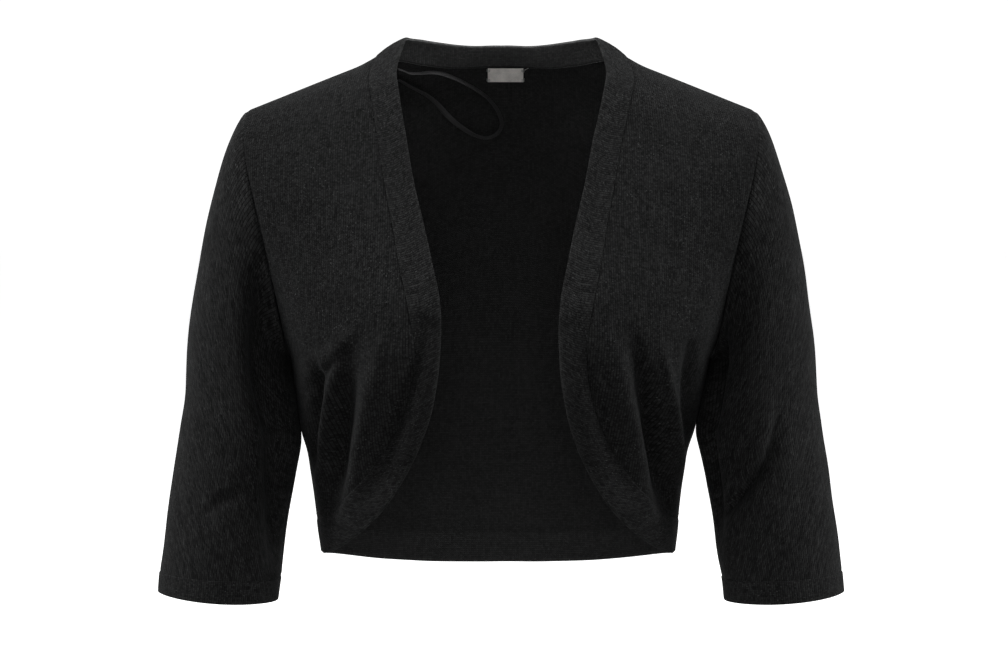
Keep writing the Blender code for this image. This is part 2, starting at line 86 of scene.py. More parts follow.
# Lines round the body at height h: -2 the front hem, -1 the front at the underarm, 0 the shoulder seam,
# 1 the back at the underarm, 2 the back hem. Depth and height at the centre, and where the line turns.
# h, y, z, x_turn
LEVELS = (
    (-2.0, -90, -390, 134),
    (-1.6, -98, -330, 141),
    (-1.3, -107, -286, 150),
    (-1.0, -114, -242, 157),
    (-0.85, -113, -212, 151),
    (-0.7, -107, -180, 146),
    (-0.5, -88, -132, 141),
    (-0.3, -62, -72, 145),
    (-0.15, -35, -19, 130),
    (0.0, 10, 9, 100),
    (0.1, 33, 1.5, 105),
    (0.2, 51, -14, 120),
    (0.3, 65, -25, 135),
    (0.5, 87, -82, 143),
    (0.7, 96, -148, 146),
    (0.85, 93, -195, 151),
    (1.0, 85, -242, 157),
    (1.3, 76, -291, 150),
    (1.6, 72, -342, 141),
    (1.86, 76, -383, 136),
    (2.0, 80, -407, 134),
)
# The height h where the back's hem band is sewn on, and how far in h the foot rises at the side seam
HEM_H = 1.86
FOOT_CORNER = 0.014
# Share of the way to x_turn and the edge that the lines pull out to, and how soon they bend down
FULLNESS = 0.6
LEVEL_CURVE = 0.2
# Rise of the shoulder towards the neck, from the first x to the second, fading in h
NECK_RISE = 9.5
NECK_RISE_X = (112.0, 58.0)
NECK_RISE_H = 0.16
# How far round the armhole's low corner is softened inside the trunk form
CORNER_SOFT = 0.22
# Share of the way in from the edge over which the folds come in, and the steps in t and h that slopes are
# measured over
FOLD_FADE = 0.3
FINE_STEP = 1e-4
STEP = 1e-3

# How the trunk leans to one side below the arms
# z, x
LEAN = ((-410, -2.0), (-385, -2.3), (-350, -2.8), (-300, -2.6), (-262, -1.2), (-225, 0.0), (-180, 0.0))

# Broad swellings of the fronts
# x, z, radius, height
SWELLINGS = ((82, -228, 72, 12),)

# Folds, ridges with a height above 0 and troughs below, from a top end to a low end. bow bends the line
# sideways, peak is where along it the fold is deepest, and skew makes one flank steeper.
# side, x_top, z_top, x_low, z_low, bow, half_width, height, peak, skew
FRONT_FOLDS = (
    (-1, 95, -213, 147, -267, 0, 5.8, -2.8, 0.60, 0.3),
    (-1, 92, -204, 146, -253, 0, 6.0, 2.0, 0.55, 0.0),
    (-1, 137, -238, 140, -330, 0, 4.8, -9.5, 0.42, 0.0),
    (-1, 119, -226, 140, -348, -1, 3.8, 5.5, 0.50, 0.0),
    (-1, 108, -228, 130, -370, -2, 8.6, -14.0, 0.50, 0.25),
    (-1, 84, -208, 120, -368, 0, 8.0, 4.5, 0.50, 0.0),
    (-1, 55, -203, 101, -352, 3, 9.0, -10.5, 0.42, 0.25),
    (1, 92, -208, 130, -372, -4, 9.2, -18.0, 0.58, 0.35),
    (1, 115, -216, 140, -344, -1, 3.9, 6.0, 0.50, 0.0),
    (1, 140, -224, 142, -322, 0, 6.2, -9.5, 0.45, 0.0),
    (1, 80, -214, 118, -358, -1, 8.0, 3.8, 0.50, 0.0),
    (1, 55, -200, 101, -354, 4, 9.0, -7.0, 0.46, 0.1),
)
BACK_FOLDS = (
    (-1, 122, -226, 70, -338, 7, 9.0, -4.2, 0.45, 0.3),
    (-1, 104, -236, 66, -372, 6, 8.0, 2.6, 0.55, -0.2),
    (-1, 60, -252, 50, -378, 4, 10.0, -2.6, 0.60, 0.2),
    (-1, 134, -262, 104, -376, 5, 6.5, -3.2, 0.50, 0.3),
    (-1, 128, -300, 112, -378, 3, 5.5, 2.4, 0.55, 0.0),
    (-1, 30, -290, 26, -380, 3, 9.0, 1.8, 0.60, 0.0),
    (-1, 150, -120, 118, -196, 8, 9.0, -1.8, 0.50, 0.2),
    (1, 126, -232, 84, -352, 7, 8.5, -4.6, 0.50, 0.35),
    (1, 112, -252, 86, -378, 5, 7.0, 2.8, 0.60, -0.2),
    (1, 68, -270, 56, -378, 4, 10.0, -2.2, 0.60, 0.0),
    (1, 136, -280, 112, -378, 4, 6.0, -3.0, 0.55, 0.3),
    (1, 16, -248, 8, -378, 4, 11.0, -2.0, 0.60, 0.2),
    (1, 44, -300, 34, -380, 2, 8.0, 1.6, 0.60, 0.0),
    (1, 146, -104, 122, -186, 8, 8.0, -1.6, 0.50, 0.2),
)

# Free edge of the front bands seen from the front, on each side, how wide the band lies there, and how far
# its edge rolls in
# x_plus, x_minus, z, width, roll
FRONT_EDGE = (
    (79.0, 78.4, -25, 22.5, 0),
    (75.8, 75.8, -45, 21.5, 0),
    (68.4, 70.2, -77, 21.5, 0),
    (59.4, 61.6, -121, 22.5, 0),
    (49.8, 51.4, -164, 24.5, 1),
    (44.4, 45.5, -193, 24.0, 3),
    (43.3, 45.1, -222, 21.5, 6),
    (45.5, 48.1, -254, 20.5, 8),
    (52.5, 56.0, -290, 22.0, 7),
    (67.9, 72.6, -328, 25.5, 4),
    (89.2, 94.6, -360, 27.5, 1),
    (113.5, 118.5, -381.5, 28.0, 0),
)
NECK_POINT_X = 72.6

# Free edge of the back neck band seen from above
# x, y
NECK_EDGE = ((0, 45.5), (20, 44), (40, 38), (57, 29), (69, 18))

# Sleeve rings below the armhole: centre, half width across and half depth, the rise of the ring's outer side
# over its centre, and how far its front and back hang below
# x, y, z, half_width, half_depth, rise, dip
RINGS = (
    (197.9, -14.0, -256.5, 39.7, 50.0, 4.6, 0.0),
    (196.5, -17.0, -276, 42.0, 49.5, 4.2, 0.0),
    (196.3, -18.5, -298, 45.9, 49.0, 3.7, 0.0),
    (201.2, -19.0, -329, 45.7, 48.0, 3.0, 0.0),
    (206.0, -19.5, -359, 45.5, 47.0, 2.4, 0.2),
    (210.1, -20.0, -389, 45.4, 46.0, 2.0, 0.6),
    (212.6, -20.0, -405.4, 45.0, 45.2, 2.0, 1.0),
    (214.3, -20.5, -422.2, 44.4, 44.4, 3.2, 1.8),
)
CUFF_RING = 6
# Radii that turn an angle round a sleeve into mm, for its knit and for its folds
KNIT_RADIUS = 46.0
FOLD_RADIUS = 47.0

# Directions in which the sleeve leaves the armhole, by the turn round it from the shoulder to the front
# turn_deg, x, y, z, reach
LEAVING = (
    (0, 0.80, 0.0, -0.60, 0.35),
    (45, 0.80, -0.12, -0.59, 0.42),
    (90, 0.72, -0.20, -0.66, 0.58),
    (135, 0.35, -0.08, -0.93, 0.70),
    (180, -0.05, 0.0, -1.0, 0.60),
)
# How far the sleeve stands off the armhole at the shoulder point and under the arm
SLEEVE_OFF_TOP = -0.2
SLEEVE_OFF_UNDER = 1.0

# turn_deg and z give the middle of each fold of a sleeve
# side, turn_top, z_top, turn_low, z_low, bow, half_width, height, peak, skew
SLEEVE_FOLDS = (
    (-1, 118, -331, 64, -360, 3, 6.0, -3.2, 0.40, -0.5),
    (-1, 112, -110, 162, -406, 9, 20.0, -19.0, 0.58, -0.3),
    (-1, 300, -290, 245, -346, 5, 7.0, -3.6, 0.50, 0.3),
    (-1, 315, -330, 262, -372, 4, 6.0, -2.4, 0.50, 0.3),
    (-1, 225, -262, 205, -330, 2, 7.0, -2.6, 0.45, 0.0),
    (1, 71, -242, 152, -362, 21, 5.2, -9.5, 0.74, 0.3),
    (1, 84, -262, 142, -340, 14, 6.0, 2.4, 0.50, 0.0),
    (1, 58, -270, 138, -376, 18, 9.0, 2.2, 0.60, 0.0),
    (1, 124, -366, 86, -381, 0, 4.5, -1.8, 0.50, 0.0),
    (1, 146, -120, 162, -384, 0, 12.5, -14.0, 0.58, 0.0),
    (1, 246, -284, 296, -352, -5, 7.0, -3.8, 0.50, 0.3),
    (1, 262, -330, 310, -376, -4, 6.0, -2.2, 0.50, 0.3),
    (1, 205, -268, 222, -336, 2, 7.0, -2.4, 0.45, 0.0),
)
# How far the sleeve presses in softly against the side of the body, on each side
# z, plus, minus
SIDE_TOUCH = (
    (-330, 0.0, 0.0),
    (-308, 0.6, -0.6),
    (-298, 1.9, -1.3),
    (-284, 3.2, -0.4),
    (-270, 3.6, 0.6),
    (-256, 2.8, 0.9),
    (-244, 0.6, 0.3),
    (-234, 0.0, 0.0),
)

# Hanger ribbon inside the back neck: a loop with both ends at the side neck, and how it turns on itself
RIBBON_WIDTH = 4.4
RIBBON_THICK = 0.5
# x, z
RIBBON_ROUTE = (
    (-81.5, -20.5),
    (-77, -22),
    (-72, -24),
    (-64, -24.3),
    (-55, -23.4),
    (-46, -24.3),
    (-37.5, -27.4),
    (-29, -32),
    (-20.5, -37),
    (-12, -43),
    (-5.5, -50),
    (-1, -58),
    (0.5, -65),
    (-2.5, -71.5),
    (-10.5, -75.5),
    (-19.5, -74),
    (-27, -70),
    (-35, -64.5),
    (-42.5, -57.5),
    (-49, -50),
    (-55.5, -43.8),
    (-64, -38.2),
    (-70.5, -34.5),
    (-77, -30.8),
    (-81.5, -28.5),
)
# Degrees that the ribbon turns about its line, out of the plane of the back, at each place of the route
RIBBON_TWIST = (
    104, 104, 103, 104, 96, 91, 86, 76, 72, 67, 63, 57, 45,
    40, 38, 37, 28, 14, 8, 18, 32, 33, 33, 40, 42,
)
RIBBON_CLEAR = 1.1

# Bare woven label below the back neck seam
LABEL_X = (-10.5, 17.5)
LABEL_Z = (-32.2, -21.2)
LABEL_THICK = 0.8
LABEL_CLEAR = 1.2
# Radius of the label's thread, how many threads tack each corner, the step down from one to the next, and
# the ends of the first
LABEL_STITCH = 0.22
TACK_THREADS = 3
TACK_STEP = 0.8
# x_from, x_to, z_from, z_to
LABEL_TACKS = (
    (-11.2, -8.6, -21.9, -21.6),
    (15.8, 18.3, -21.6, -22.0),
    (-11.2, -8.8, -29.6, -29.8),
    (15.9, 18.2, -29.8, -29.5),
)
# x, z, off the label
LABEL_LOOSE_END = ((17.2, -22.2, 0.2), (18.6, -21.4, 0.8), (20.0, -20.4, 1.0), (21.6, -19.8, 0.7))
# Radius of the neck seam's thread, the length of one of its stitches, and the steps along it
NECK_STITCH = 0.28
NECK_STITCH_LENGTH = 2.4
NECK_STITCH_STEP = 0.45

# Grids
ARMHOLE_STEPS = 96
SIDE_STEPS = 74
FRONT_ACROSS = 62
SHOULDER_STEPS = 56
NECK_STEPS = 40
CAP_STEPS = 60
SLEEVE_STEPS = 66
BAND_MIDDLE = 10

# Knit: width of a column of stitches, and height of a row
WALE = 1.75
COURSE = 1.3

# Studio, in metres
CAMERA_AIM = Vector((0.0022, 0.0, -0.2265))
CAMERA_DISTANCE = 3.3
CAMERA_RISE = math.radians(3)
LAMP_AIM = Vector((0, 0, -0.2))
FLOOR_Z = -0.62
FLOOR_REACH = 14
SKY_BEHIND = 1.1
SKY_BEFORE = 0.06


def smooth_way(s, start, leave, end, arrive):
    """From start to end as s goes from 0 to 1, with these slopes at its two ends."""
    first = (2 * s**3 - 3 * s**2 + 1) * start + (s**3 - 2 * s**2 + s) * leave
    return first + (3 * s**2 - 2 * s**3) * end + (s**3 - s**2) * arrive


def curve(table, column, at):
    """Smooth curve through one column of a table, over its first column."""
    rows = np.array(table, float)
    knots, values = rows[:, 0], rows[:, column]
    slopes = np.gradient(values, knots)
    at = np.clip(at, knots[0], knots[-1])
    cell = np.clip(np.searchsorted(knots, at, side="right") - 1, 0, len(knots) - 2)
    span = knots[cell + 1] - knots[cell]
    s = (at - knots[cell]) / span
    return smooth_way(s, values[cell], span * slopes[cell], values[cell + 1], span * slopes[cell + 1])


def curves(table, at):
    """Every column of a table after its first, each as curve() reads it."""
    return [curve(table, column, at) for column in range(1, len(table[0]))]


def stack(*parts):
    return np.stack(np.broadcast_arrays(*parts), axis=-1)


def both_halves(half, sign=1.0):
    """A half that runs out from the centre line, with its mirror image before it."""
    return np.concatenate([sign * half[:0:-1], half])


def unit(v):
    return v / np.linalg.norm(v, axis=-1, keepdims=True)


def dot(a, b):
    return np.sum(a * b, axis=-1)


def ease(x):
    x = np.clip(x, 0, 1)
    return x * x * (3 - 2 * x)


def fading(distance, reach, height=1.0):
    """A height at a line that fades to 0 well past reach from it."""
    return height * np.exp(-((distance / reach) ** 2))


def body_edge(h):
    """Armhole and side seam of the +X half: shoulder point at h 0, underarm at 1, hem at 2, front below 0."""
    along = np.abs(h)
    turn = np.pi * np.minimum(along, 1)
    y = np.sign(h) * ARMHOLE_HALF_DEPTH * np.sin(turn)
    z = ARMHOLE_MIDDLE_Z + ARMHOLE_HALF_HEIGHT * np.cos(turn) - SIDE_LENGTH * np.maximum(along - 1, 0)
    return stack(curve(SIDE, 1, z), y, z)


def soft_edge(t, h):
    """body_edge() with its corner under the arm softened, more so further in from it."""
    t, h = np.broadcast_arrays(np.asarray(t, float), np.asarray(h, float))
    reach = CORNER_SOFT * np.sqrt(np.clip(1 - t, 0, 1)) * fading(np.abs(h) - 1, 0.5)
    shares = ((-1.0, 0.1), (-0.6, 0.22), (0.0, 0.36), (0.6, 0.22), (1.0, 0.1))
    return sum(share * body_edge(np.clip(h + spot * reach, -2, 2)) for spot, share in shares)


def smooth_body(t, h):
    """The +X half of the trunk form, before its folds: t is 0 on the centre line and 1 at body_edge()."""
    y_mid, z_mid, x_turn = curves(LEVELS, h)
    x_edge, y_edge, z_edge = np.moveaxis(soft_edge(t, h), -1, 0)
    second = 3 * t * (1 - t) ** 2
    third = 3 * t**2 * (1 - t)
    x = second * FULLNESS * x_turn + third * (x_edge - FULLNESS * (x_edge - x_turn)) + t**3 * x_edge
    y = ((1 - t) ** 3 + second) * y_mid + third * (y_edge - FULLNESS * (y_edge - y_mid)) + t**3 * y_edge
    s = x / x_edge
    straight = (np.sqrt(s**2 + LEVEL_CURVE**2) - LEVEL_CURVE) / (math.hypot(1, LEVEL_CURVE) - LEVEL_CURVE)
    dip = np.clip(np.abs(h) - 1, 0, 1)
    z = z_mid + (z_edge - z_mid) * (straight * (1 - dip) + s**3 * dip)
    rise = NECK_RISE * ease((NECK_RISE_X[0] - x) / (NECK_RISE_X[0] - NECK_RISE_X[1]))
    return stack(x, y, z + fading(h, NECK_RISE_H, rise))


def fold(x, z, x_top, z_top, x_low, z_low, bow, half_width, height, peak, skew):
    """A soft ridge or trough along a bowed line, steeper on one flank, which fades at both ends."""
    dx, dz = x_low - x_top, z_low - z_top
    length = math.hypot(dx, dz)
    along = ((x - x_top) * dx + (z - z_top) * dz) / length**2
    off = ((x - x_top) * dz - (z - z_top) * dx) / length
    inside = np.clip(along, 0, 1)
    off = off - bow * np.sin(np.pi * inside)
    power = math.log(0.5) / math.log(peak)
    ends = np.sin(np.pi * inside**power) ** 0.9
    width = half_width * (1 + skew * np.tanh(off / half_width))
    q = off / width
    return height * ends * np.exp(-(q**2)) * (1 - 0.35 * q**2)


def waves(a, b, seed):
    """Small uneven waves of the cloth, about half a millimetre high."""
    total = np.zeros(np.broadcast(a, b).shape)
    chance = np.random.default_rng(seed)
    for _ in range(9):
        angle = chance.uniform(0, math.pi)
        length = chance.uniform(28, 80)
        phase = chance.uniform(0, 2 * math.pi)
        total = total + np.sin(2 * math.pi * (a * math.cos(angle) + b * math.sin(angle)) / length + phase)
    return total * 0.11


def swelling(x, z, h):
    """How far the broad swellings of the fronts stand out of the trunk form."""
    total = np.zeros_like(x)
    for x_top, z_top, radius, height in SWELLINGS:
        total = total + height * np.exp(-((x - x_top) ** 2 + (z - z_top) ** 2) / radius**2)
    return total * (h < 0)


def body_relief(x, z, h, side):
    """How far folds and small waves stand out of the trunk form; x and z are where they are seen."""
    front, back = (
        sum(fold(x, z, *row) * (side == row_side) for row_side, *row in folds)
        for folds in (FRONT_FOLDS, BACK_FOLDS)
    )
    return np.where(h < 0, front, back) + waves(x * side, z, 3) * ease(np.abs(h) / 0.3)


def body(t, h, side=1, out=0.0):
    """Points of the trunk form on one side, moved out along its normal by out."""
    t, h, side = np.broadcast_arrays(np.asarray(t, float), np.asarray(h, float), side)
    point = smooth_body(t, h)
    t_low, t_high = np.maximum(t - FINE_STEP, 0), np.minimum(t + FINE_STEP, 1)
    h_low, h_high = np.maximum(h - FINE_STEP, -2), np.minimum(h + FINE_STEP, 2)
    across = smooth_body(t_high, h) - smooth_body(t_low, h)
    down = smooth_body(t, h_high) - smooth_body(t, h_low)
    normal = unit(np.cross(across, down))
    fade = ease((1 - t) / FOLD_FADE)
    point = point + normal * (swelling(point[..., 0], point[..., 2], h) * fade)[..., None]
    seen_x = point[..., 0] + curve(LEAN, 1, point[..., 2]) * side
    relief = body_relief(seen_x, point[..., 2], h, side) * fade
    point = point + normal * (relief + out)[..., None]
    return point * stack(side, 1.0, 1.0) + stack(curve(LEAN, 1, point[..., 2]), 0.0, 0.0)


def slopes(t, h, side):
    """Points of the trunk form, and how they move for each unit of t and of h."""
    here = body(t, h, side)
    return here, (body(t + STEP, h, side) - here) / STEP, (body(t, h + STEP, side) - here) / STEP


def place_on_body(x, other, axis, guess, side):
    """Finds t and h where the trunk form has this x and, on the given axis, this other coordinate."""
    x, other, side = np.broadcast_arrays(np.asarray(x, float), other, side)
    t, h = np.zeros_like(x) + guess[0], np.zeros_like(x) + guess[1]
    for _ in range(25):
        here, by_t, by_h = slopes(t, h, side)
        miss_x, miss = x - side * here[..., 0], other - here[..., axis]
        a, b = side * by_t[..., 0], side * by_h[..., 0]
        c, d = by_t[..., axis], by_h[..., axis]
        scale = a * d - b * c
        t = t + np.clip((miss_x * d - miss * b) / scale, -0.05, 0.05)
        h = h + np.clip((miss * a - miss_x * c) / scale, -0.05, 0.05)
    return t, h


def walk(t, h, along, side, width):
    """Walks straight across the trunk form from an edge, at right angles to it; width in mm."""
    steps = 5
    heading = None
    for _ in range(steps):
        _, by_t, by_h = slopes(t, h, side)
        normal = unit(np.cross(by_t, by_h))
        if heading is None:
            heading = np.cross(normal, along)
            heading = heading * np.sign(dot(heading, by_t))[..., None]
        heading = unit(heading - normal * dot(heading, normal)[..., None])
        goal = heading * (width / steps)[..., None]
        tt, hh, th = dot(by_t, by_t), dot(by_h, by_h), dot(by_t, by_h)
        gt, gh = dot(goal, by_t), dot(goal, by_h)
        scale = tt * hh - th * th
        t, h = t + (gt * hh - gh * th) / scale, h + (gh * tt - gt * th) / scale
    return t, h


def slide(t, h, axis, side, width):
    """Goes width mm along a line of constant h (axis 0) or constant t (axis 1)."""
    steps = 10
    for _ in range(steps):
        here = body(t, h, side)
        ahead = body(t + STEP * (axis == 0), h + STEP * (axis == 1), side)
        move = width / steps / np.linalg.norm(ahead - here) * STEP
        t, h = t + move * (axis == 0), h + move * (axis == 1)
    return t, h


def run_of(spots):
    """Running length along a row of points."""
    return np.concatenate([[0], np.cumsum(np.linalg.norm(np.diff(spots, axis=0), axis=1))])


def resample(rows, count):
    """Smooth curve through rows of numbers, read at count + 1 points evenly spaced in body lengths."""
    rows = np.array(rows, float)
    lengths = run_of(body(rows[:, 0], rows[:, 1]))
    table = np.column_stack([lengths, rows])
    at = np.linspace(0, lengths[-1], count + 1)
    made = np.column_stack(curves(table, at))
    made[:, 1] = np.clip(made[:, 1], -2, 2)
    return made


def front_edge(side):
    """Rows t, h, width, roll down the free edge of a front band, from the shoulder to the side seam."""
    t = place_on_shoulder(NECK_POINT_X)
    rows = [(t, 0.0, FRONT_BAND, 0.0)]
    guess = (t, -0.1)
    for x_plus, x_minus, z, width, roll in FRONT_EDGE:
        guess = place_on_body(x_plus if side > 0 else x_minus, z, 2, guess, side)
        rows.append((*guess, width, roll))
    rows.append((1.0, -2.0, FRONT_BAND_LOW, 0.0))
    return resample(rows, ARMHOLE_STEPS + SIDE_STEPS)


def neck_edge(count):
    """Rows t, h, width, roll along the back neck's free edge, from the centre to the shoulder."""
    rows = []
    guess = (0.02, 0.15)
    for x, y in NECK_EDGE:
        guess = place_on_body(x, y, 1, guess, 1) if x else (0.0, centre_h(y))
        rows.append((*guess, NECK_BAND, 0.0))
    rows.append((place_on_shoulder(NECK_POINT_X), 0.0, NECK_BAND, 0.0))
    return resample(rows, count)


def centre_h(y):
    """Height h at which the back's centre line has this depth, above the shoulder blades."""
    h = np.linspace(0, 0.4, 400)
    return float(np.interp(y, curve(LEVELS, 1, h), h))


def place_on_shoulder(x):
    t = np.linspace(0, 1, 800)
    return float(np.interp(x, body(t, 0.0)[:, 0], t))


def seam_from_edge(edge, side, extra):
    """The seam line of a band, its own width from the free edge, plus extra mm."""
    spots = body(edge[:, 0], edge[:, 1], side)
    along = unit(np.gradient(spots, axis=0))
    t, h = walk(edge[:, 0], edge[:, 1], along, side, edge[:, 2] + extra)
    rows = np.column_stack([t, h])
    # The end on the shoulder seam runs along it, at h 0, and the other end along its own seam or centre line
    first_axis = 0 if edge[0, 1] == 0 else 1
    for row, axis in ((0, first_axis), (-1, 1 - first_axis)):
        rows[row] = slide(edge[row, 0], edge[row, 1], axis, side, edge[row, 2] + extra)
    return rows


def armhole_point(turn):
    """Armhole edge at an angle in radians from the shoulder point, round by the front."""
    h = -turn / np.pi
    return body_edge(np.where(h < -1, h + 2, h))


def ring_point(place, turn):
    """Point of the sleeve's rings: place counts down the RINGS table."""
    rows = [(i, *row) for i, row in enumerate(RINGS)]
    x, y, z, half_width, half_depth, rise, dip = curves(rows, place)
    return stack(
        x + half_width * np.cos(turn),
        y - half_depth * np.sin(turn),
        z + rise * np.cos(turn) - dip * np.sin(turn) ** 2,
    )


def smooth_sleeve(place, turn):
    """The +X sleeve form: place is -1 at the armhole, 0 at the first ring, and then counts down the rings."""
    place, turn = np.broadcast_arrays(np.asarray(place, float), np.asarray(turn, float))
    top = (1 + np.cos(turn)) / 2
    off = SLEEVE_OFF_UNDER + (SLEEVE_OFF_TOP - SLEEVE_OFF_UNDER) * top
    start = armhole_point(turn) + stack(off, 0.0, 0.0)
    end = ring_point(0.0, turn)
    length = np.linalg.norm(end - start, axis=-1, keepdims=True)
    from_top = np.degrees(np.where(turn > np.pi, 2 * np.pi - turn, turn))
    front = np.where(turn > np.pi, -1.0, 1.0)
    x, y, z, reach = curves(LEAVING, from_top)
    leave = unit(stack(x, front * y, z)) * reach[..., None]
    arrive = unit(ring_point(0.5, turn) - end)
    v = np.clip(place + 1, 0, 1)[..., None]
    cap = smooth_way(v, start, leave * length, end, arrive * length)
    return np.where(place[..., None] < 0, cap, ring_point(np.maximum(place, 0), turn))


def sleeve_relief(place, turn, z, side):
    """Folds of a sleeve, measured round it in mm from the shoulder line."""
    relief = np.zeros_like(z)
    for row_side, turn_top, z_top, turn_low, z_low, *shape in SLEEVE_FOLDS:
        a, b = math.radians(turn_top) * FOLD_RADIUS, math.radians(turn_low) * FOLD_RADIUS
        relief = relief + fold(turn * FOLD_RADIUS, z, a, z_top, b, z_low, *shape) * (side == row_side)
    touch = fading(turn - np.pi, 0.6, curve(SIDE_TOUCH, 1 if side > 0 else 2, z))
    ripple = waves(np.sin(turn) * 60 + side * 40, z - np.cos(turn) * 30, 11)
    return (relief + touch + ripple) * ease((place + 1) / 0.25)


def sleeve(place, turn, side, out=0.0):
    """Points of the sleeve form on one side, moved out along its normal by out."""
    place, turn = np.broadcast_arrays(np.asarray(place, float), np.asarray(turn, float))
    point = smooth_sleeve(place, turn)
    ahead, behind = (smooth_sleeve(place, (turn + step) % (2 * np.pi)) for step in (FINE_STEP, -FINE_STEP))
    round_way = ahead - behind
    low = np.maximum(place - FINE_STEP, -1)
    high = np.minimum(place + FINE_STEP, len(RINGS) - 1)
    down = smooth_sleeve(high, turn) - smooth_sleeve(low, turn)
    normal = unit(np.cross(round_way, down))
    relief = sleeve_relief(place, turn, point[..., 2], side)
    point = point + normal * (relief + out)[..., None]
    return point * np.array([side, 1.0, 1.0])


def inside_back(x, z, inwards):
    """Points inside the back, in from the middle of its cloth, where it has this x and z."""
    side = np.where(x < 0, -1.0, 1.0)
    t, h = place_on_body(np.abs(x), z, 2, (0.3, 0.4), side)
    return body(t, h, side, -inwards)


def girth(t, h, side):
    """Distance round the trunk from its centre line, in mm, signed by the side."""
    t, h, side = np.broadcast_arrays(t, h, side)
    parts = 14
    spots = smooth_body(t[..., None] * np.linspace(0, 1, parts + 1), h[..., None])
    return np.sum(np.linalg.norm(np.diff(spots, axis=-2), axis=-1), axis=-1) * side


def drop(h):
    """Distance down the cloth from the shoulder seam, in mm, in front or behind."""
    levels = np.linspace(-2, 2, 401)
    lengths = run_of(smooth_body(0.45, levels))
    return np.abs(np.interp(h, levels, lengths) - np.interp(0, levels, lengths))


def lengths_along(grid, axis):
    """Running length in mm along one way of a grid."""
    steps = np.linalg.norm(np.diff(grid, axis=axis), axis=-1)
    start = np.zeros_like(np.take(steps, [0], axis=axis))
    return np.concatenate([start, np.cumsum(steps, axis=axis)], axis=axis)


def ditch(distance):
    return fading(distance, SEAM_DITCH_WIDTH, -SEAM_DITCH)


def rounded(distance, thick):
    """Half thickness near a folded edge, at this distance from it."""
    radius = thick / 2
    x = np.clip(distance / radius, 0, 1)
    return radius * np.sqrt(np.clip(1 - (1 - x) ** 2, 0, 1))


def rib_half(across, width):
    """Half thickness of a rib band, rounded at both edges."""
    return np.minimum(rounded(across, RIB_THICK), rounded(width - across, RIB_THICK))


def across_band(width, columns=BAND_MIDDLE):
    """Distances from a folded edge to the far edge, close together near both."""
    near = np.array([0, 0.06, 0.22, 0.5, 0.85, 1.2])
    middle = np.linspace(0, 1, columns + 1)[1:-1]
    width = np.asarray(width)[..., None]
    start = np.broadcast_to(near, (*width.shape[:-1], len(near)))
    body_part = near[-1] + (width - 2 * near[-1]) * middle
    return np.concatenate([start, body_part, width - near[::-1]], axis=-1)


def add_object(name, data):
    made = bpy.data.objects.new(name, data)
    bpy.context.scene.collection.objects.link(made)
    return made


def knit_mesh(name, points, faces, coords):
    """Mesh of points in mm, with each face corner's place in the knit."""
    mesh = bpy.data.meshes.new(name)
    mesh.from_pydata((np.asarray(points) * MM).tolist(), [], faces)
    layer = mesh.uv_layers.new(name="knit")
    layer.uv.foreach_set("vector", np.asarray(coords, np.float32).reshape(-1))
    mesh.shade_smooth()
    return mesh


def around(grid):
    """The four corners of each cell of a grid."""
    return grid[:-1, :-1], grid[:-1, 1:], grid[1:, 1:], grid[1:, :-1]


def normals_of(grid, closed):
    if closed:
        across = np.roll(grid, -1, axis=1) - np.roll(grid, 1, axis=1)
    else:
        across = np.gradient(grid, axis=1)
    down = np.gradient(grid, axis=0)
    return unit(np.cross(across, down))


def cloth(name, grid, half, knit, inside, materials, closed=False, painted_highlight=0.0):
    """Cloth on a grid of points in mm: an outer and an inner face, half the thickness each way, and its rims.

    Where the half thickness is 0 the two faces meet. knit holds each point's place in the knit, with one
    more column than the grid where it is closed. inside is a point within, which tells out from in.
    The last argument is how much paler the yarn is painted there, a painted highlight, from 0 to 1.
    """
    rows, columns = grid.shape[:2]
    normal = normals_of(grid, closed)
    flip = np.mean(dot(normal, grid - inside)) < 0
    if flip:
        normal = -normal
    half = np.broadcast_to(half, (rows, columns))
    outer, inner = grid + normal * half[..., None], grid - normal * half[..., None]
    index = np.arange(rows * columns).reshape(rows, columns)
    under = np.where(half < 1e-6, index, index + rows * columns)
    if closed:
        index = np.concatenate([index, index[:, :1]], axis=1)
        under = np.concatenate([under, under[:, :1]], axis=1)
    corner = np.broadcast_to(knit, (rows, index.shape[1], 2))
    faces = [np.stack(cells, axis=-1).reshape(-1, 4) for cells in (around(index), around(under)[::-1])]
    coords = [np.stack(cells, axis=-2).reshape(-1, 4, 2) for cells in (around(corner), around(corner)[::-1])]
    slots = [np.zeros(len(faces[0]), int), np.ones(len(faces[1]), int)]
    parts = (index, under, corner)
    rims = [[part[0, ::-1] for part in parts], [part[-1] for part in parts]]
    if not closed:
        rims += [[part[:, 0] for part in parts], [part[::-1, -1] for part in parts]]
    for top, foot, place in rims:
        keep = (top != foot)[:-1] & (top != foot)[1:]
        faces.append(np.stack([top[:-1], top[1:], foot[1:], foot[:-1]], axis=-1)[keep])
        coords.append(np.stack([place[:-1], place[1:], place[1:], place[:-1]], axis=-2)[keep])
        slots.append(np.zeros(int(keep.sum()), int))
    faces, coords, slots = np.concatenate(faces), np.concatenate(coords), np.concatenate(slots)
    if flip:
        faces, coords = faces[:, ::-1], coords[:, ::-1]
    points = np.concatenate([outer.reshape(-1, 3), inner.reshape(-1, 3)])
    used, faces = np.unique(faces, return_inverse=True)
    mesh = knit_mesh(name, points[used], faces.reshape(-1, 4).tolist(), coords)
    painted_highlight = np.broadcast_to(painted_highlight, (rows, columns)).reshape(-1)
    highlight_attribute = mesh.attributes.new("painted_highlight", "FLOAT", "POINT")
    highlight_attribute.data.foreach_set("value", np.tile(painted_highlight, 2)[used].astype(np.float32))
    for material in materials:
        mesh.materials.append(material)
    mesh.polygons.foreach_set("material_index", slots.astype(np.int32))
    mesh.validate()
    return add_object(name, mesh)


# Materials


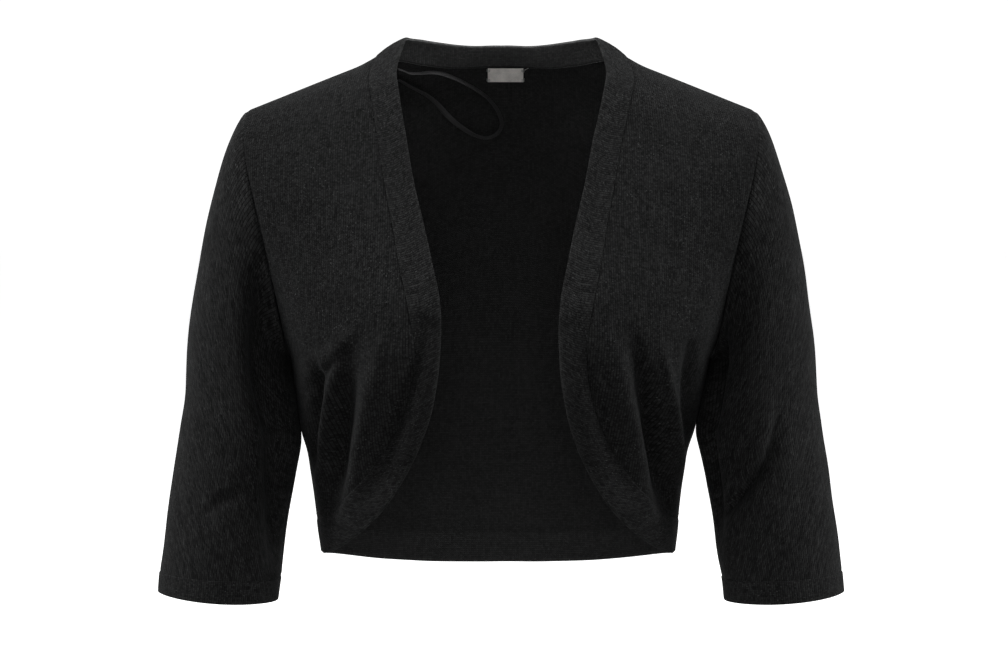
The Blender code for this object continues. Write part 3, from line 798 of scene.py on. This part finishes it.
class Tree:
    """Short calls for building one material's nodes."""

    def __init__(self, name):
        self.material = bpy.data.materials.new(name)
        self.material.use_nodes = True
        self.tree = self.material.node_tree
        self.shader = self.tree.nodes["Principled BSDF"]

    def link(self, value, socket):
        if isinstance(value, bpy.types.NodeSocket):
            self.tree.links.new(value, socket)
        else:
            socket.default_value = value

    def node(self, kind, values=(), **settings):
        made = self.tree.nodes.new(kind)
        for key, value in settings.items():
            setattr(made, key, value)
        for key, value in dict(values).items():
            self.link(value, made.inputs[key])
        return made

    def math(self, operation, *values):
        return self.node("ShaderNodeMath", enumerate(values), operation=operation).outputs[0]

    def times(self, product, *others):
        for other in others:
            product = self.math("MULTIPLY", product, other)
        return product

    def shade(self, colour, tone):
        return self.node("ShaderNodeVectorMath", {0: colour, "Scale": tone}, operation="SCALE").outputs[0]

    def mix(self, factor, a, b):
        return self.node("ShaderNodeMix", {0: factor, 6: a, 7: b}, data_type="RGBA").outputs[2]

    def range(self, value, low, high, to_low, to_high):
        values = (value, low, high, to_low, to_high)
        return self.node("ShaderNodeMapRange", enumerate(values)).outputs[0]

    def chance(self, x, y=0.0):
        """A number from 0 to 1 that is the same all over one cell."""
        spot = self.node("ShaderNodeCombineXYZ", {0: x, 1: y}).outputs[0]
        return self.node("ShaderNodeTexWhiteNoise", {"Vector": spot}, noise_dimensions="2D").outputs["Value"]

    def cloud(self, spot, scale, detail=2.0, rough=0.5):
        values = {"Vector": spot, "Scale": scale, "Detail": detail, "Roughness": rough}
        return self.node("ShaderNodeTexNoise", values).outputs["Fac"]

    def places(self):
        """The place in the knit, its two numbers, and the place on the object in metres."""
        uv = self.node("ShaderNodeUVMap", uv_map="knit").outputs[0]
        u, v, _ = self.node("ShaderNodeSeparateXYZ", {0: uv}).outputs
        return uv, u, v, self.node("ShaderNodeTexCoord").outputs["Object"]

    def finish(self, values, relief, strength, depth):
        """Sets the shader's inputs and its relief, whose depth is in mm."""
        bump = self.node("ShaderNodeBump", {"Strength": strength, "Distance": depth * MM, "Height": relief})
        for key, value in {**values, "Normal": bump.outputs[0]}.items():
            self.link(value, self.shader.inputs[key])
        return self.material


def knit_material(name, yarn, depth, purl=False, course=COURSE, rows=0.05, sheen=0.03):
    """Fine plain knit: V stitches in upright wales, or the bumps of its reverse, with specks of pale fibre.

    rows is how strongly one course differs from the next.
    """
    k = Tree(name)
    uv, u, v, spot = k.places()
    drift = k.range(k.cloud(uv, 0.03, 1.0), 0.0, 1.0, -1.2, 1.2)
    columns = k.math("DIVIDE", k.math("ADD", u, drift), WALE)
    column = k.math("FLOOR", columns)
    off = k.math("ABSOLUTE", k.math("SUBTRACT", k.math("SUBTRACT", columns, column), 0.5))
    groove = k.math("COSINE", k.times(off, math.pi))
    bend = k.times(groove, 0.35) if purl else k.times(off, 1.3)
    courses = k.math("ADD", k.math("DIVIDE", v, course), bend)
    row = k.math("FLOOR", courses)
    bead = k.math("SINE", k.times(k.math("SUBTRACT", courses, row), math.pi))
    if purl:
        height = k.times(bead, k.range(groove, 0.0, 1.0, 0.55, 1.0))
    else:
        leg = k.math("SINE", k.times(off, 2 * math.pi))
        height = k.times(k.math("POWER", groove, 0.6), k.range(k.times(leg, bead), 0.0, 1.0, 0.5, 1.0))

    # The tone varies over the cloth, by column, by course and by stitch, and is painted darker between
    # stitches, painted shade in the grooves
    soft = 0.45 if purl else 1.0
    wide = k.range(k.cloud(spot, 9.0, 3.0), 0.3, 0.7, 0.92, 1.08)
    strip = k.node("ShaderNodeCombineXYZ", {0: k.times(column, 7.3), 1: k.times(v, 0.07)}).outputs[0]
    streak = k.range(k.cloud(strip, 1.0, 1.0), 0.3, 0.7, 1 - 0.20 * soft, 1 + 0.20 * soft)
    ring = k.range(k.chance(row, k.math("FLOOR", k.math("DIVIDE", u, 26.0))), 0.0, 1.0, 1 - rows, 1 + rows)
    stitch = k.range(k.chance(column, row), 0.0, 1.0, 1 - 0.46 * soft, 1 + 0.46 * soft)
    groove_shade = k.range(height, 0.0, 1.0, 1 - 0.75 * soft, 1 + 0.42 * soft)
    # The attribute read here paints the yarn paler: a painted highlight along folded edges and below the tops
    # of the panels
    painted_highlight = k.node("ShaderNodeAttribute", attribute_name="painted_highlight").outputs["Fac"]
    tone = k.times(wide, streak, stitch, groove_shade, ring, k.range(painted_highlight, 0.0, 1.0, 1.0, 1.35))

    # Fluff: a speck of pale fibre in some small cells, and a bright one in few
    luck = k.chance(*(k.math("FLOOR", k.math("DIVIDE", run, cell)) for run, cell in ((u, 0.85), (v, 0.7))))
    common = k.range(luck, 0.90, 1.0, 0.0, 0.35)
    rare = k.range(luck, 0.985, 1.0, 0.0, 1.0)
    patches = k.range(k.cloud(spot, 40.0, 2.0), 0.35, 0.65, 0.3 * soft, soft)
    lint = k.times(k.math("MAXIMUM", common, rare), patches)
    values = {
        "Base Color": k.mix(lint, k.shade(yarn, tone), (*SPECK, 1.0)),
        "Roughness": k.range(k.cloud(spot, 60.0, 2.0), 0.3, 0.7, 0.82, 0.98),
        "Specular IOR Level": 0.05,
        "Sheen Weight": sheen,
        "Sheen Roughness": 0.45,
        "Sheen Tint": (0.75, 0.78, 0.80, 1.0),
    }
    fuzz = k.cloud(uv, 2.2, 3.0, 0.7)
    return k.finish(values, k.math("ADD", height, k.times(fuzz, 0.5)), 0.7, depth)


def thread_material(name, colour, rough, sheen, scale):
    """Thread, ribbon or label: fine lines across a plain colour, with a little unevenness."""
    k = Tree(name)
    _, u, v, spot = k.places()
    warp, weft = (k.math("SINE", k.times(run, 2 * math.pi / size)) for run, size in zip((u, v), scale))
    weave = k.range(k.times(warp, weft), -1.0, 1.0, 0.0, 1.0)
    cloudy = k.range(k.cloud(spot, 160.0, 3.0), 0.3, 0.7, 0.86, 1.14)
    values = {
        "Base Color": k.shade(colour, k.times(k.range(weave, 0.0, 1.0, 0.84, 1.1), cloudy)),
        "Roughness": k.range(k.cloud(spot, 220.0, 2.0), 0.3, 0.7, rough - 0.07, rough + 0.07),
        "Specular IOR Level": 0.4,
        "Sheen Weight": sheen,
        "Sheen Roughness": 0.4,
    }
    return k.finish(values, weave, 0.5, 0.12)


# Inner faces are painted paler than outer ones: partly the reverse knit's own tone, mostly painted light
# inside, where the lamps barely reach; most so inside the neck band, which is painted light
YARN = (0.0125, 0.0127, 0.0127)
SLEEVE_YARN = RIB_YARN = (0.0145, 0.0147, 0.0147)
YARN_BACK_PAINTED_LIGHT = (0.0245, 0.0247, 0.0247)
RIB_BACK_PAINTED_LIGHT = (0.0290, 0.0293, 0.0293)
NECK_BACK_PAINTED_LIGHT = (0.0680, 0.0685, 0.0685)
SPECK = (0.055, 0.056, 0.056)
panel_face = knit_material("panel_knit_face", YARN, 0.34)
# The reverse materials below take these colours painted paler, painted light on the inner faces
panel_back_painted_light = knit_material("panel_knit_reverse_painted_light", YARN_BACK_PAINTED_LIGHT, 0.30, purl=True, sheen=0.02)
sleeve_face = knit_material("sleeve_knit_face", SLEEVE_YARN, 0.34, course=COURSE * 1.3, rows=0.20)
rib_face = knit_material("rib_knit_face", RIB_YARN, 0.38)
rib_back_painted_light = knit_material("rib_knit_reverse_painted_light", RIB_BACK_PAINTED_LIGHT, 0.34, purl=True, sheen=0.02)
neck_back_painted_light = knit_material("neck_rib_reverse_painted_light", NECK_BACK_PAINTED_LIGHT, 0.34, purl=True, sheen=0.02)
thread = thread_material("seam_thread", (0.030, 0.031, 0.031), 0.7, 0.05, (0.5, 0.5))
ribbon_satin = thread_material("ribbon_satin", (0.031, 0.031, 0.032), 0.55, 0.1, (0.35, 1.2))
label_weave = thread_material("label_weave", (0.90, 0.86, 0.82), 0.6, 0.1, (0.45, 0.45))
label_thread = thread_material("label_thread", (0.50, 0.50, 0.49), 0.6, 0.2, (0.5, 0.5))

PANEL = (panel_face, panel_back_painted_light)
SLEEVE = (sleeve_face, panel_back_painted_light)
RIB = (rib_face, rib_back_painted_light)
NECK_RIB = (rib_face, neck_back_painted_light)


# Pieces


def trunk_panel(name, t, h, side, seams, inside):
    """Panel of the trunk; seams gives its relief from the distances to its two sides, top and foot."""
    plain = body(t, h, side)
    across, down = lengths_along(plain, 1), lengths_along(plain, 0)
    grid = body(t, h, side, seams(across, across[:, -1:] - across, down, down[-1:] - down))
    knit = stack(girth(t, h, side), drop(h))
    return cloth(name, grid, PANEL_THICK / 2, knit, inside, PANEL, painted_highlight=fading(down, *PANEL_TOP_HIGHLIGHT))


def levels_to(last):
    """Heights h down the armhole and on down the side seam."""
    return np.concatenate([np.arange(ARMHOLE_STEPS) / ARMHOLE_STEPS, np.linspace(1, last, SIDE_STEPS + 1)])


def front_panel(word, side):
    seam = seam_from_edge(front_edge(side), side, -UNDER_BAND)
    outer = -levels_to(-seam[-1, 1] - 0.03)
    s = np.linspace(0, 1, FRONT_ACROSS + 1)
    t = seam[:, :1] + (1 - seam[:, :1]) * s
    h = seam[:, 1:] + (outer[:, None] - seam[:, 1:]) * s

    def seams(band_side, armhole_side, top, foot):
        return ditch(band_side - UNDER_BAND - 0.4) * 0.3 + ditch(armhole_side) + ditch(top)

    return trunk_panel(f"front_{word}_knit", t, h, side, seams, (side * 90, 0, -220))


def back_panel():
    seam = seam_from_edge(neck_edge(NECK_STEPS), 1, -UNDER_BAND)
    shoulder_t = seam[-1, 0] + (1 - seam[-1, 0]) * np.linspace(0, 1, SHOULDER_STEPS + 1)[1:]
    half = np.concatenate([seam, np.column_stack([shoulder_t, np.zeros(SHOULDER_STEPS)])])
    top = both_halves(half)
    signs = both_halves(np.ones(len(half)), -1.0)
    foot = both_halves(np.linspace(0, 1, len(half)))
    last = HEM_H + UNDER_BAND / 100
    v = (levels_to(last) / last)[:, None]
    h = top[:, 1] + (last - top[:, 1]) * v
    t = top[:, 0] + (foot - top[:, 0]) * v

    def seams(right, left, top, foot):
        return ditch(right) + ditch(left) + ditch(top) * 0.6 + ditch(foot - 1.6) * 0.4

    return trunk_panel("back_panel_knit", t, h, signs, seams, (0, 0, -200))


def foot_corner(t):
    """How far the foot rises, as a share of the side seam, where it turns into the side."""
    return FOOT_CORNER * ease((t - 0.87) / 0.07)


def band(name, edge, side, mirror=False):
    """Rib band: rows along it, each from its folded free edge across to its sewn edge."""
    seam = seam_from_edge(edge, side, 0.0)
    width = edge[:, 2:3]
    across = across_band(edge[:, 2])
    s = across / width
    t = edge[:, :1] + (seam[:, :1] - edge[:, :1]) * s
    edge_h = edge[:, 1:2] + foot_corner(edge[:, :1])
    h = edge_h + (seam[:, 1:] - edge_h) * s
    roll = -edge[:, 3:4] * (1 - s) ** 2
    along = lengths_along(body(t, h, side), 0)
    ends = np.minimum(along, along[-1:] - along)
    arch = np.sin(np.pi * np.clip(s, 0, 1))
    long, short = BAND_SWELL_LENGTHS
    swell = BAND_SWELL * np.sin(along / long) * np.sin(along / short + 1.3) * arch
    to_shoulder = along[-1:] - along if mirror else along
    dome = arch * fading(to_shoulder, SHOULDER_DOME_REACH, SHOULDER_DOME)
    relief = roll + swell + dome + 0.5 * ditch(ends)
    signs, inside, materials = side, (side * 90, 0, -220), RIB
    if mirror:
        t, h, relief, across, width = map(both_halves, (t, h, relief, across, width))
        along = both_halves(along, -1.0)
        signs = both_halves(np.ones((len(edge), 1)), -1.0)
        relief = relief - 0.7 * ditch(along)
        inside, materials = (0, 20, -60), NECK_RIB
    grid = body(t, h, signs, relief)
    knit = stack(along, across)
    painted_highlight = fading(across, EDGE_HIGHLIGHT)
    return cloth(name, grid, rib_half(across, width), knit, inside, materials, painted_highlight=painted_highlight)


def back_hem():
    """Rib band along the foot of the back, from its sewn edge down to its folded edge."""
    t = both_halves(np.linspace(0, 1, NECK_STEPS + SHOULDER_STEPS + 1))
    signs = both_halves(np.ones(NECK_STEPS + SHOULDER_STEPS + 1), -1.0)
    down = across_band(HEM_BAND)[:, None]
    h = HEM_H + (2 - HEM_H - foot_corner(t)) * (down / HEM_BAND)
    across = lengths_along(body(t, h, signs), 1)
    grid = body(t, h, signs, 0.7 * ditch(np.minimum(across, across[:, -1:] - across)))
    knit = stack(girth(t, h, signs), down)
    painted_highlight = fading(HEM_BAND - down, EDGE_HIGHLIGHT)
    return cloth("hem_band_back_rib", grid, rib_half(down, HEM_BAND), knit, (0, 0, -395), RIB, painted_highlight=painted_highlight)


def round_sleeve(places):
    """Grid round a sleeve from its underarm seam, over the back and the shoulder, and round by the front.

    Gives place and turn, the distance round in mm with the seam at both ends, and that from the seam.
    """
    turns = np.linspace(np.pi, 3 * np.pi, 2 * ARMHOLE_STEPS + 1)
    place, turn = np.meshgrid(places, turns[:-1] % (2 * np.pi), indexing="ij")
    from_seam = np.minimum(turns - np.pi, 3 * np.pi - turns)[:-1]
    return place, turn, turns * KNIT_RADIUS, from_seam * KNIT_RADIUS


def sleeve_panel(word, side):
    last = CUFF_RING + 0.07
    places = np.concatenate([np.linspace(-1, 0, CAP_STEPS + 1), np.linspace(0, last, SLEEVE_STEPS + 1)[1:]])
    place, turn, run, from_seam = round_sleeve(places)
    down = lengths_along(sleeve(place, turn, side), 0)
    relief = ditch(down) + ditch(down[-1:] - down - 1.2) * 0.3 + 0.8 * ditch(from_seam)
    grid = sleeve(place, turn, side, relief)
    knit = stack(run, np.concatenate([down, down[:, :1]], axis=1))
    inside = (side * 205, -15, -300)
    painted_highlight = fading(down, *SLEEVE_TOP_HIGHLIGHT)
    return cloth(f"sleeve_{word}_knit", grid, PANEL_THICK / 2, knit, inside, SLEEVE, closed=True, painted_highlight=painted_highlight)


def cuff(word, side):
    down = across_band(CUFF_BAND)
    place, turn, run, from_seam = round_sleeve(CUFF_RING + down / CUFF_BAND)
    down = down[:, None]
    grid = sleeve(place, turn, side, 0.6 * ditch(from_seam))
    half = rib_half(down, CUFF_BAND)
    inside = (side * 213, -20, -414)
    painted_highlight = fading(CUFF_BAND - down, EDGE_HIGHLIGHT)
    return cloth(f"cuff_{word}_rib", grid, half, stack(run, down), inside, RIB, closed=True, painted_highlight=painted_highlight)


def hanger_ribbon():
    """The flat ribbon loop, which hangs just inside the back and turns on itself."""
    route = np.array(RIBBON_ROUTE, float)
    lengths = run_of(route)
    table = np.column_stack([lengths, route, np.radians(RIBBON_TWIST)])
    x, z, twist = curves(table, np.linspace(0, lengths[-1], 120))
    inwards = PANEL_THICK / 2 + RIBBON_CLEAR + RIBBON_WIDTH / 2
    line = inside_back(x, z, inwards)
    off = inside_back(x, z, inwards + 1.0) - line
    along = unit(np.gradient(line, axis=0))
    inward = unit(off - along * dot(off, along)[:, None])
    flat = np.cross(along, inward)
    width_way = flat * np.cos(twist)[:, None] + inward * np.sin(twist)[:, None]
    s = np.array([-1, -0.96, -0.85, -0.5, 0, 0.5, 0.85, 0.96, 1.0])
    grid = line[:, None, :] + width_way[:, None, :] * (s * RIBBON_WIDTH / 2)[None, :, None]
    half = RIBBON_THICK / 2 * np.sqrt(np.clip(1 - np.abs(s) ** 6, 0, 1))
    half = np.broadcast_to(half[None, :], grid.shape[:2]).copy()
    half[0], half[-1] = 0, 0
    run = lengths_along(grid, 0)
    knit = stack(np.broadcast_to(s * RIBBON_WIDTH / 2, run.shape), run)
    piece = cloth("hanger_ribbon", grid, half, knit, (0, 500, -40), (ribbon_satin,))
    return piece, line * MM


def label():
    """A woven label left bare, with its ends folded under."""
    across = across_band(LABEL_X[1] - LABEL_X[0], 14)
    up = across_band(LABEL_Z[1] - LABEL_Z[0], 6)
    inwards = PANEL_THICK / 2 + LABEL_CLEAR + LABEL_THICK / 2
    x, z = np.meshgrid(LABEL_X[0] + across, LABEL_Z[0] + up)
    bulge = 0.5 * np.sin(np.pi * across / across[-1])[None, :] * np.sin(np.pi * up / up[-1])[:, None]
    grid = inside_back(x, z, inwards + bulge)
    edge_x = np.minimum(across, across[-1] - across)
    edge_z = np.minimum(up, up[-1] - up)
    half = np.minimum(rounded(edge_x, LABEL_THICK)[None, :], rounded(edge_z, LABEL_THICK)[:, None])
    knit = stack(across[None, :], up[:, None])
    return cloth("neck_label_woven", grid, half, knit, (0, 500, -40), (label_weave,))


def thread_tubes(name, lines, radius):
    """Threads as round tubes, closed at both ends; each line is rows of x, y, z and a share of the radius."""
    sides = 6
    turns = (np.arange(sides) * 2 * np.pi / sides)[None, :, None]
    points, faces, coords = [], [], []
    for line in map(np.asarray, lines):
        centre, reach = line[:, None, :3], radius * line[:, None, 3:]
        along = unit(np.gradient(line[:, :3], axis=0))
        first = unit(np.cross(along, np.array([0.13, -0.31, 0.94])))
        second = np.cross(along, first)
        index = len(points) + np.arange(len(line) * sides).reshape(-1, sides)
        ring = first[:, None] * np.cos(turns) + second[:, None] * np.sin(turns)
        points += (centre + ring * reach).reshape(-1, 3).tolist()
        ends = (index[0, ::-1].tolist(), index[-1].tolist())
        index = np.concatenate([index, index[:, :1]], axis=1)
        place = stack(np.arange(sides + 1), np.arange(len(line))[:, None])
        faces += [*np.stack(around(index), axis=-1).reshape(-1, 4).tolist(), *ends]
        coords += [*np.stack(around(place), axis=-2).reshape(-1, 2).tolist(), *[(0, 0)] * (2 * sides)]
    return add_object(name, knit_mesh(name, points, faces, np.array(coords) * 0.3))


def neck_stitches():
    """The chain of thread that shows inside along the back neck seam."""
    seam = seam_from_edge(neck_edge(NECK_STEPS * 5), 1, 0.0)[:-12]
    inwards = (RIB_THICK + NECK_STITCH) / 2
    left, right = (body(seam[:, 0], seam[:, 1], side, -inwards) for side in (1.0, -1.0))
    line = np.concatenate([right[:0:-1], left])
    run = run_of(line)
    at = np.arange(0, run[-1], NECK_STITCH_STEP)
    spots = np.stack([np.interp(at, run, line[:, axis]) for axis in range(3)], axis=1)
    share = 0.62 + 0.38 * np.abs(np.sin(np.pi * at / NECK_STITCH_LENGTH))
    return thread_tubes("neck_seam_stitches", [np.column_stack([spots, share])], NECK_STITCH)


def label_stitches():
    """Short tacks that hold the label by its corners, and one loose thread end."""
    lines = []
    inwards = PANEL_THICK / 2 + LABEL_CLEAR + LABEL_THICK + 0.35
    for x0, x1, z0, z1 in LABEL_TACKS:
        for step in range(TACK_THREADS):
            s = np.linspace(0, 1, 7)
            x, z = x0 + (x1 - x0) * s, z0 + (z1 - z0) * s - TACK_STEP * step
            rise = inwards + 0.25 * np.sin(np.pi * s) - 0.75 * (np.abs(2 * s - 1) > 0.9)
            lines.append(np.column_stack([inside_back(x, z, rise), np.ones(7)]))
    loose = np.array(LABEL_LOOSE_END, float)
    s, at = np.linspace(0, 1, len(loose)), np.linspace(0, 1, 14)
    x, z, off = (np.interp(at, s, loose[:, column]) for column in range(3))
    lines.append(np.column_stack([inside_back(x, z, inwards + off), np.linspace(1, 0.7, 14)]))
    return thread_tubes("label_stitches", lines, LABEL_STITCH)


def dress(piece, node):
    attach(piece, "root")
    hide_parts(node)


ribbon, ribbon_line = hanger_ribbon()
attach(ribbon, "root")
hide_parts("hanger_loop")

dress(back_panel(), "back_panel")
dress(back_hem(), "hem_band_back")
neck = band("band_back_neck_rib", neck_edge(NECK_STEPS), 1, mirror=True)
dress(neck, "band_back_neck")
for word, side in (("left", 1), ("right", -1)):
    dress(front_panel(word, side), f"front_{word}")
    front_band = band(f"band_front_{word}_rib", front_edge(side), side)
    dress(front_band, f"band_front_{word}")
    dress(sleeve_panel(word, side), f"sleeve_{word}")
    dress(cuff(word, side), f"cuff_{word}")
dress(label(), "neck_label")
for stitches, colour, slot in (
    (neck_stitches(), thread, "rib_knit"),
    (label_stitches(), label_thread, "woven_label"),
):
    stitches.data.materials.append(colour)
    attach(stitches, "root")


# Studio


def look_at(made, aim):
    made.rotation_euler = (aim - made.location).to_track_quat("-Z", "Y").to_euler()


def smooth_change(tree, coordinate, low, high, to_low, to_high):
    """A number that changes smoothly along Y, between two places of a texture coordinate."""
    spot = tree.nodes.new("ShaderNodeSeparateXYZ")
    tree.links.new(tree.nodes.new("ShaderNodeTexCoord").outputs[coordinate], spot.inputs[0])
    change = tree.nodes.new("ShaderNodeMapRange")
    change.interpolation_type = "SMOOTHSTEP"
    for socket, value in enumerate((low, high, to_low, to_high), 1):
        change.inputs[socket].default_value = value
    tree.links.new(spot.outputs[1], change.inputs[0])
    return change.outputs[0]


def lamp(name, azimuth, elevation, distance, size, power):
    """A round soft light aimed at the cardigan; azimuth 0 is in front of it."""
    data = bpy.data.lights.new(name, "AREA")
    data.shape = "DISK"
    data.size = size
    data.energy = power
    light = add_object(name, data)
    a, e = math.radians(azimuth), math.radians(elevation)
    level = math.cos(e)
    light.location = LAMP_AIM + distance * Vector((math.sin(a) * level, -math.cos(a) * level, math.sin(e)))
    look_at(light, LAMP_AIM)


camera_data = bpy.data.cameras.new("camera")
camera_data.lens = 155
camera_data.sensor_width = 36
camera_data.clip_end = 50
camera = add_object("camera", camera_data)
camera.location = CAMERA_AIM + CAMERA_DISTANCE * Vector((0, -math.cos(CAMERA_RISE), math.sin(CAMERA_RISE)))
look_at(camera, CAMERA_AIM)
bpy.context.scene.camera = camera

# The floor is painted paler behind the cardigan than before it, with a faint painted glow there, painted
# light standing in for a lit paper sweep
paper = Tree("floor_painted_lit")
pale = smooth_change(paper.tree, "Object", 0.4, 1.05, 0.35, 0.9)
glow = smooth_change(paper.tree, "Object", 0.6, 1.05, 0.0, 0.8)
paper.shader.inputs["Roughness"].default_value = 0.9
paper.shader.inputs["Emission Color"].default_value = (1, 1, 1, 1)
paper.link(pale, paper.shader.inputs["Base Color"])
paper.link(glow, paper.shader.inputs["Emission Strength"])
corners = [(x * FLOOR_REACH, y * FLOOR_REACH, FLOOR_Z) for x, y in ((-1, -1), (1, -1), (1, 1), (-1, 1))]
floor_mesh = bpy.data.meshes.new("floor")
floor_mesh.from_pydata(corners, [], [(0, 1, 2, 3)])
floor_mesh.materials.append(paper.material)
add_object("floor", floor_mesh)

# The sky is a white wall behind the cardigan and dim all round elsewhere, with a soft change between
world = bpy.data.worlds.new("studio")
world.use_nodes = True
background = world.node_tree.nodes["Background"]
background.inputs["Color"].default_value = (1, 1, 1, 1)
sky = smooth_change(world.node_tree, "Generated", 0.4, 0.9, SKY_BEFORE, SKY_BEHIND)
world.node_tree.links.new(sky, background.inputs["Strength"])
bpy.context.scene.world = world

lamp("front", 0, 4, 4.5, 1.3, 14)
lamp("front_high", 0, 42, 3.2, 1.2, 7)
lamp("side_left", -77, 40, 3.0, 1.6, 95)
lamp("side_right", 77, 40, 3.0, 1.6, 83)
lamp("top", 0, 65, 3.0, 1.6, 5)

bpy.context.scene.view_settings.view_transform = "Standard"
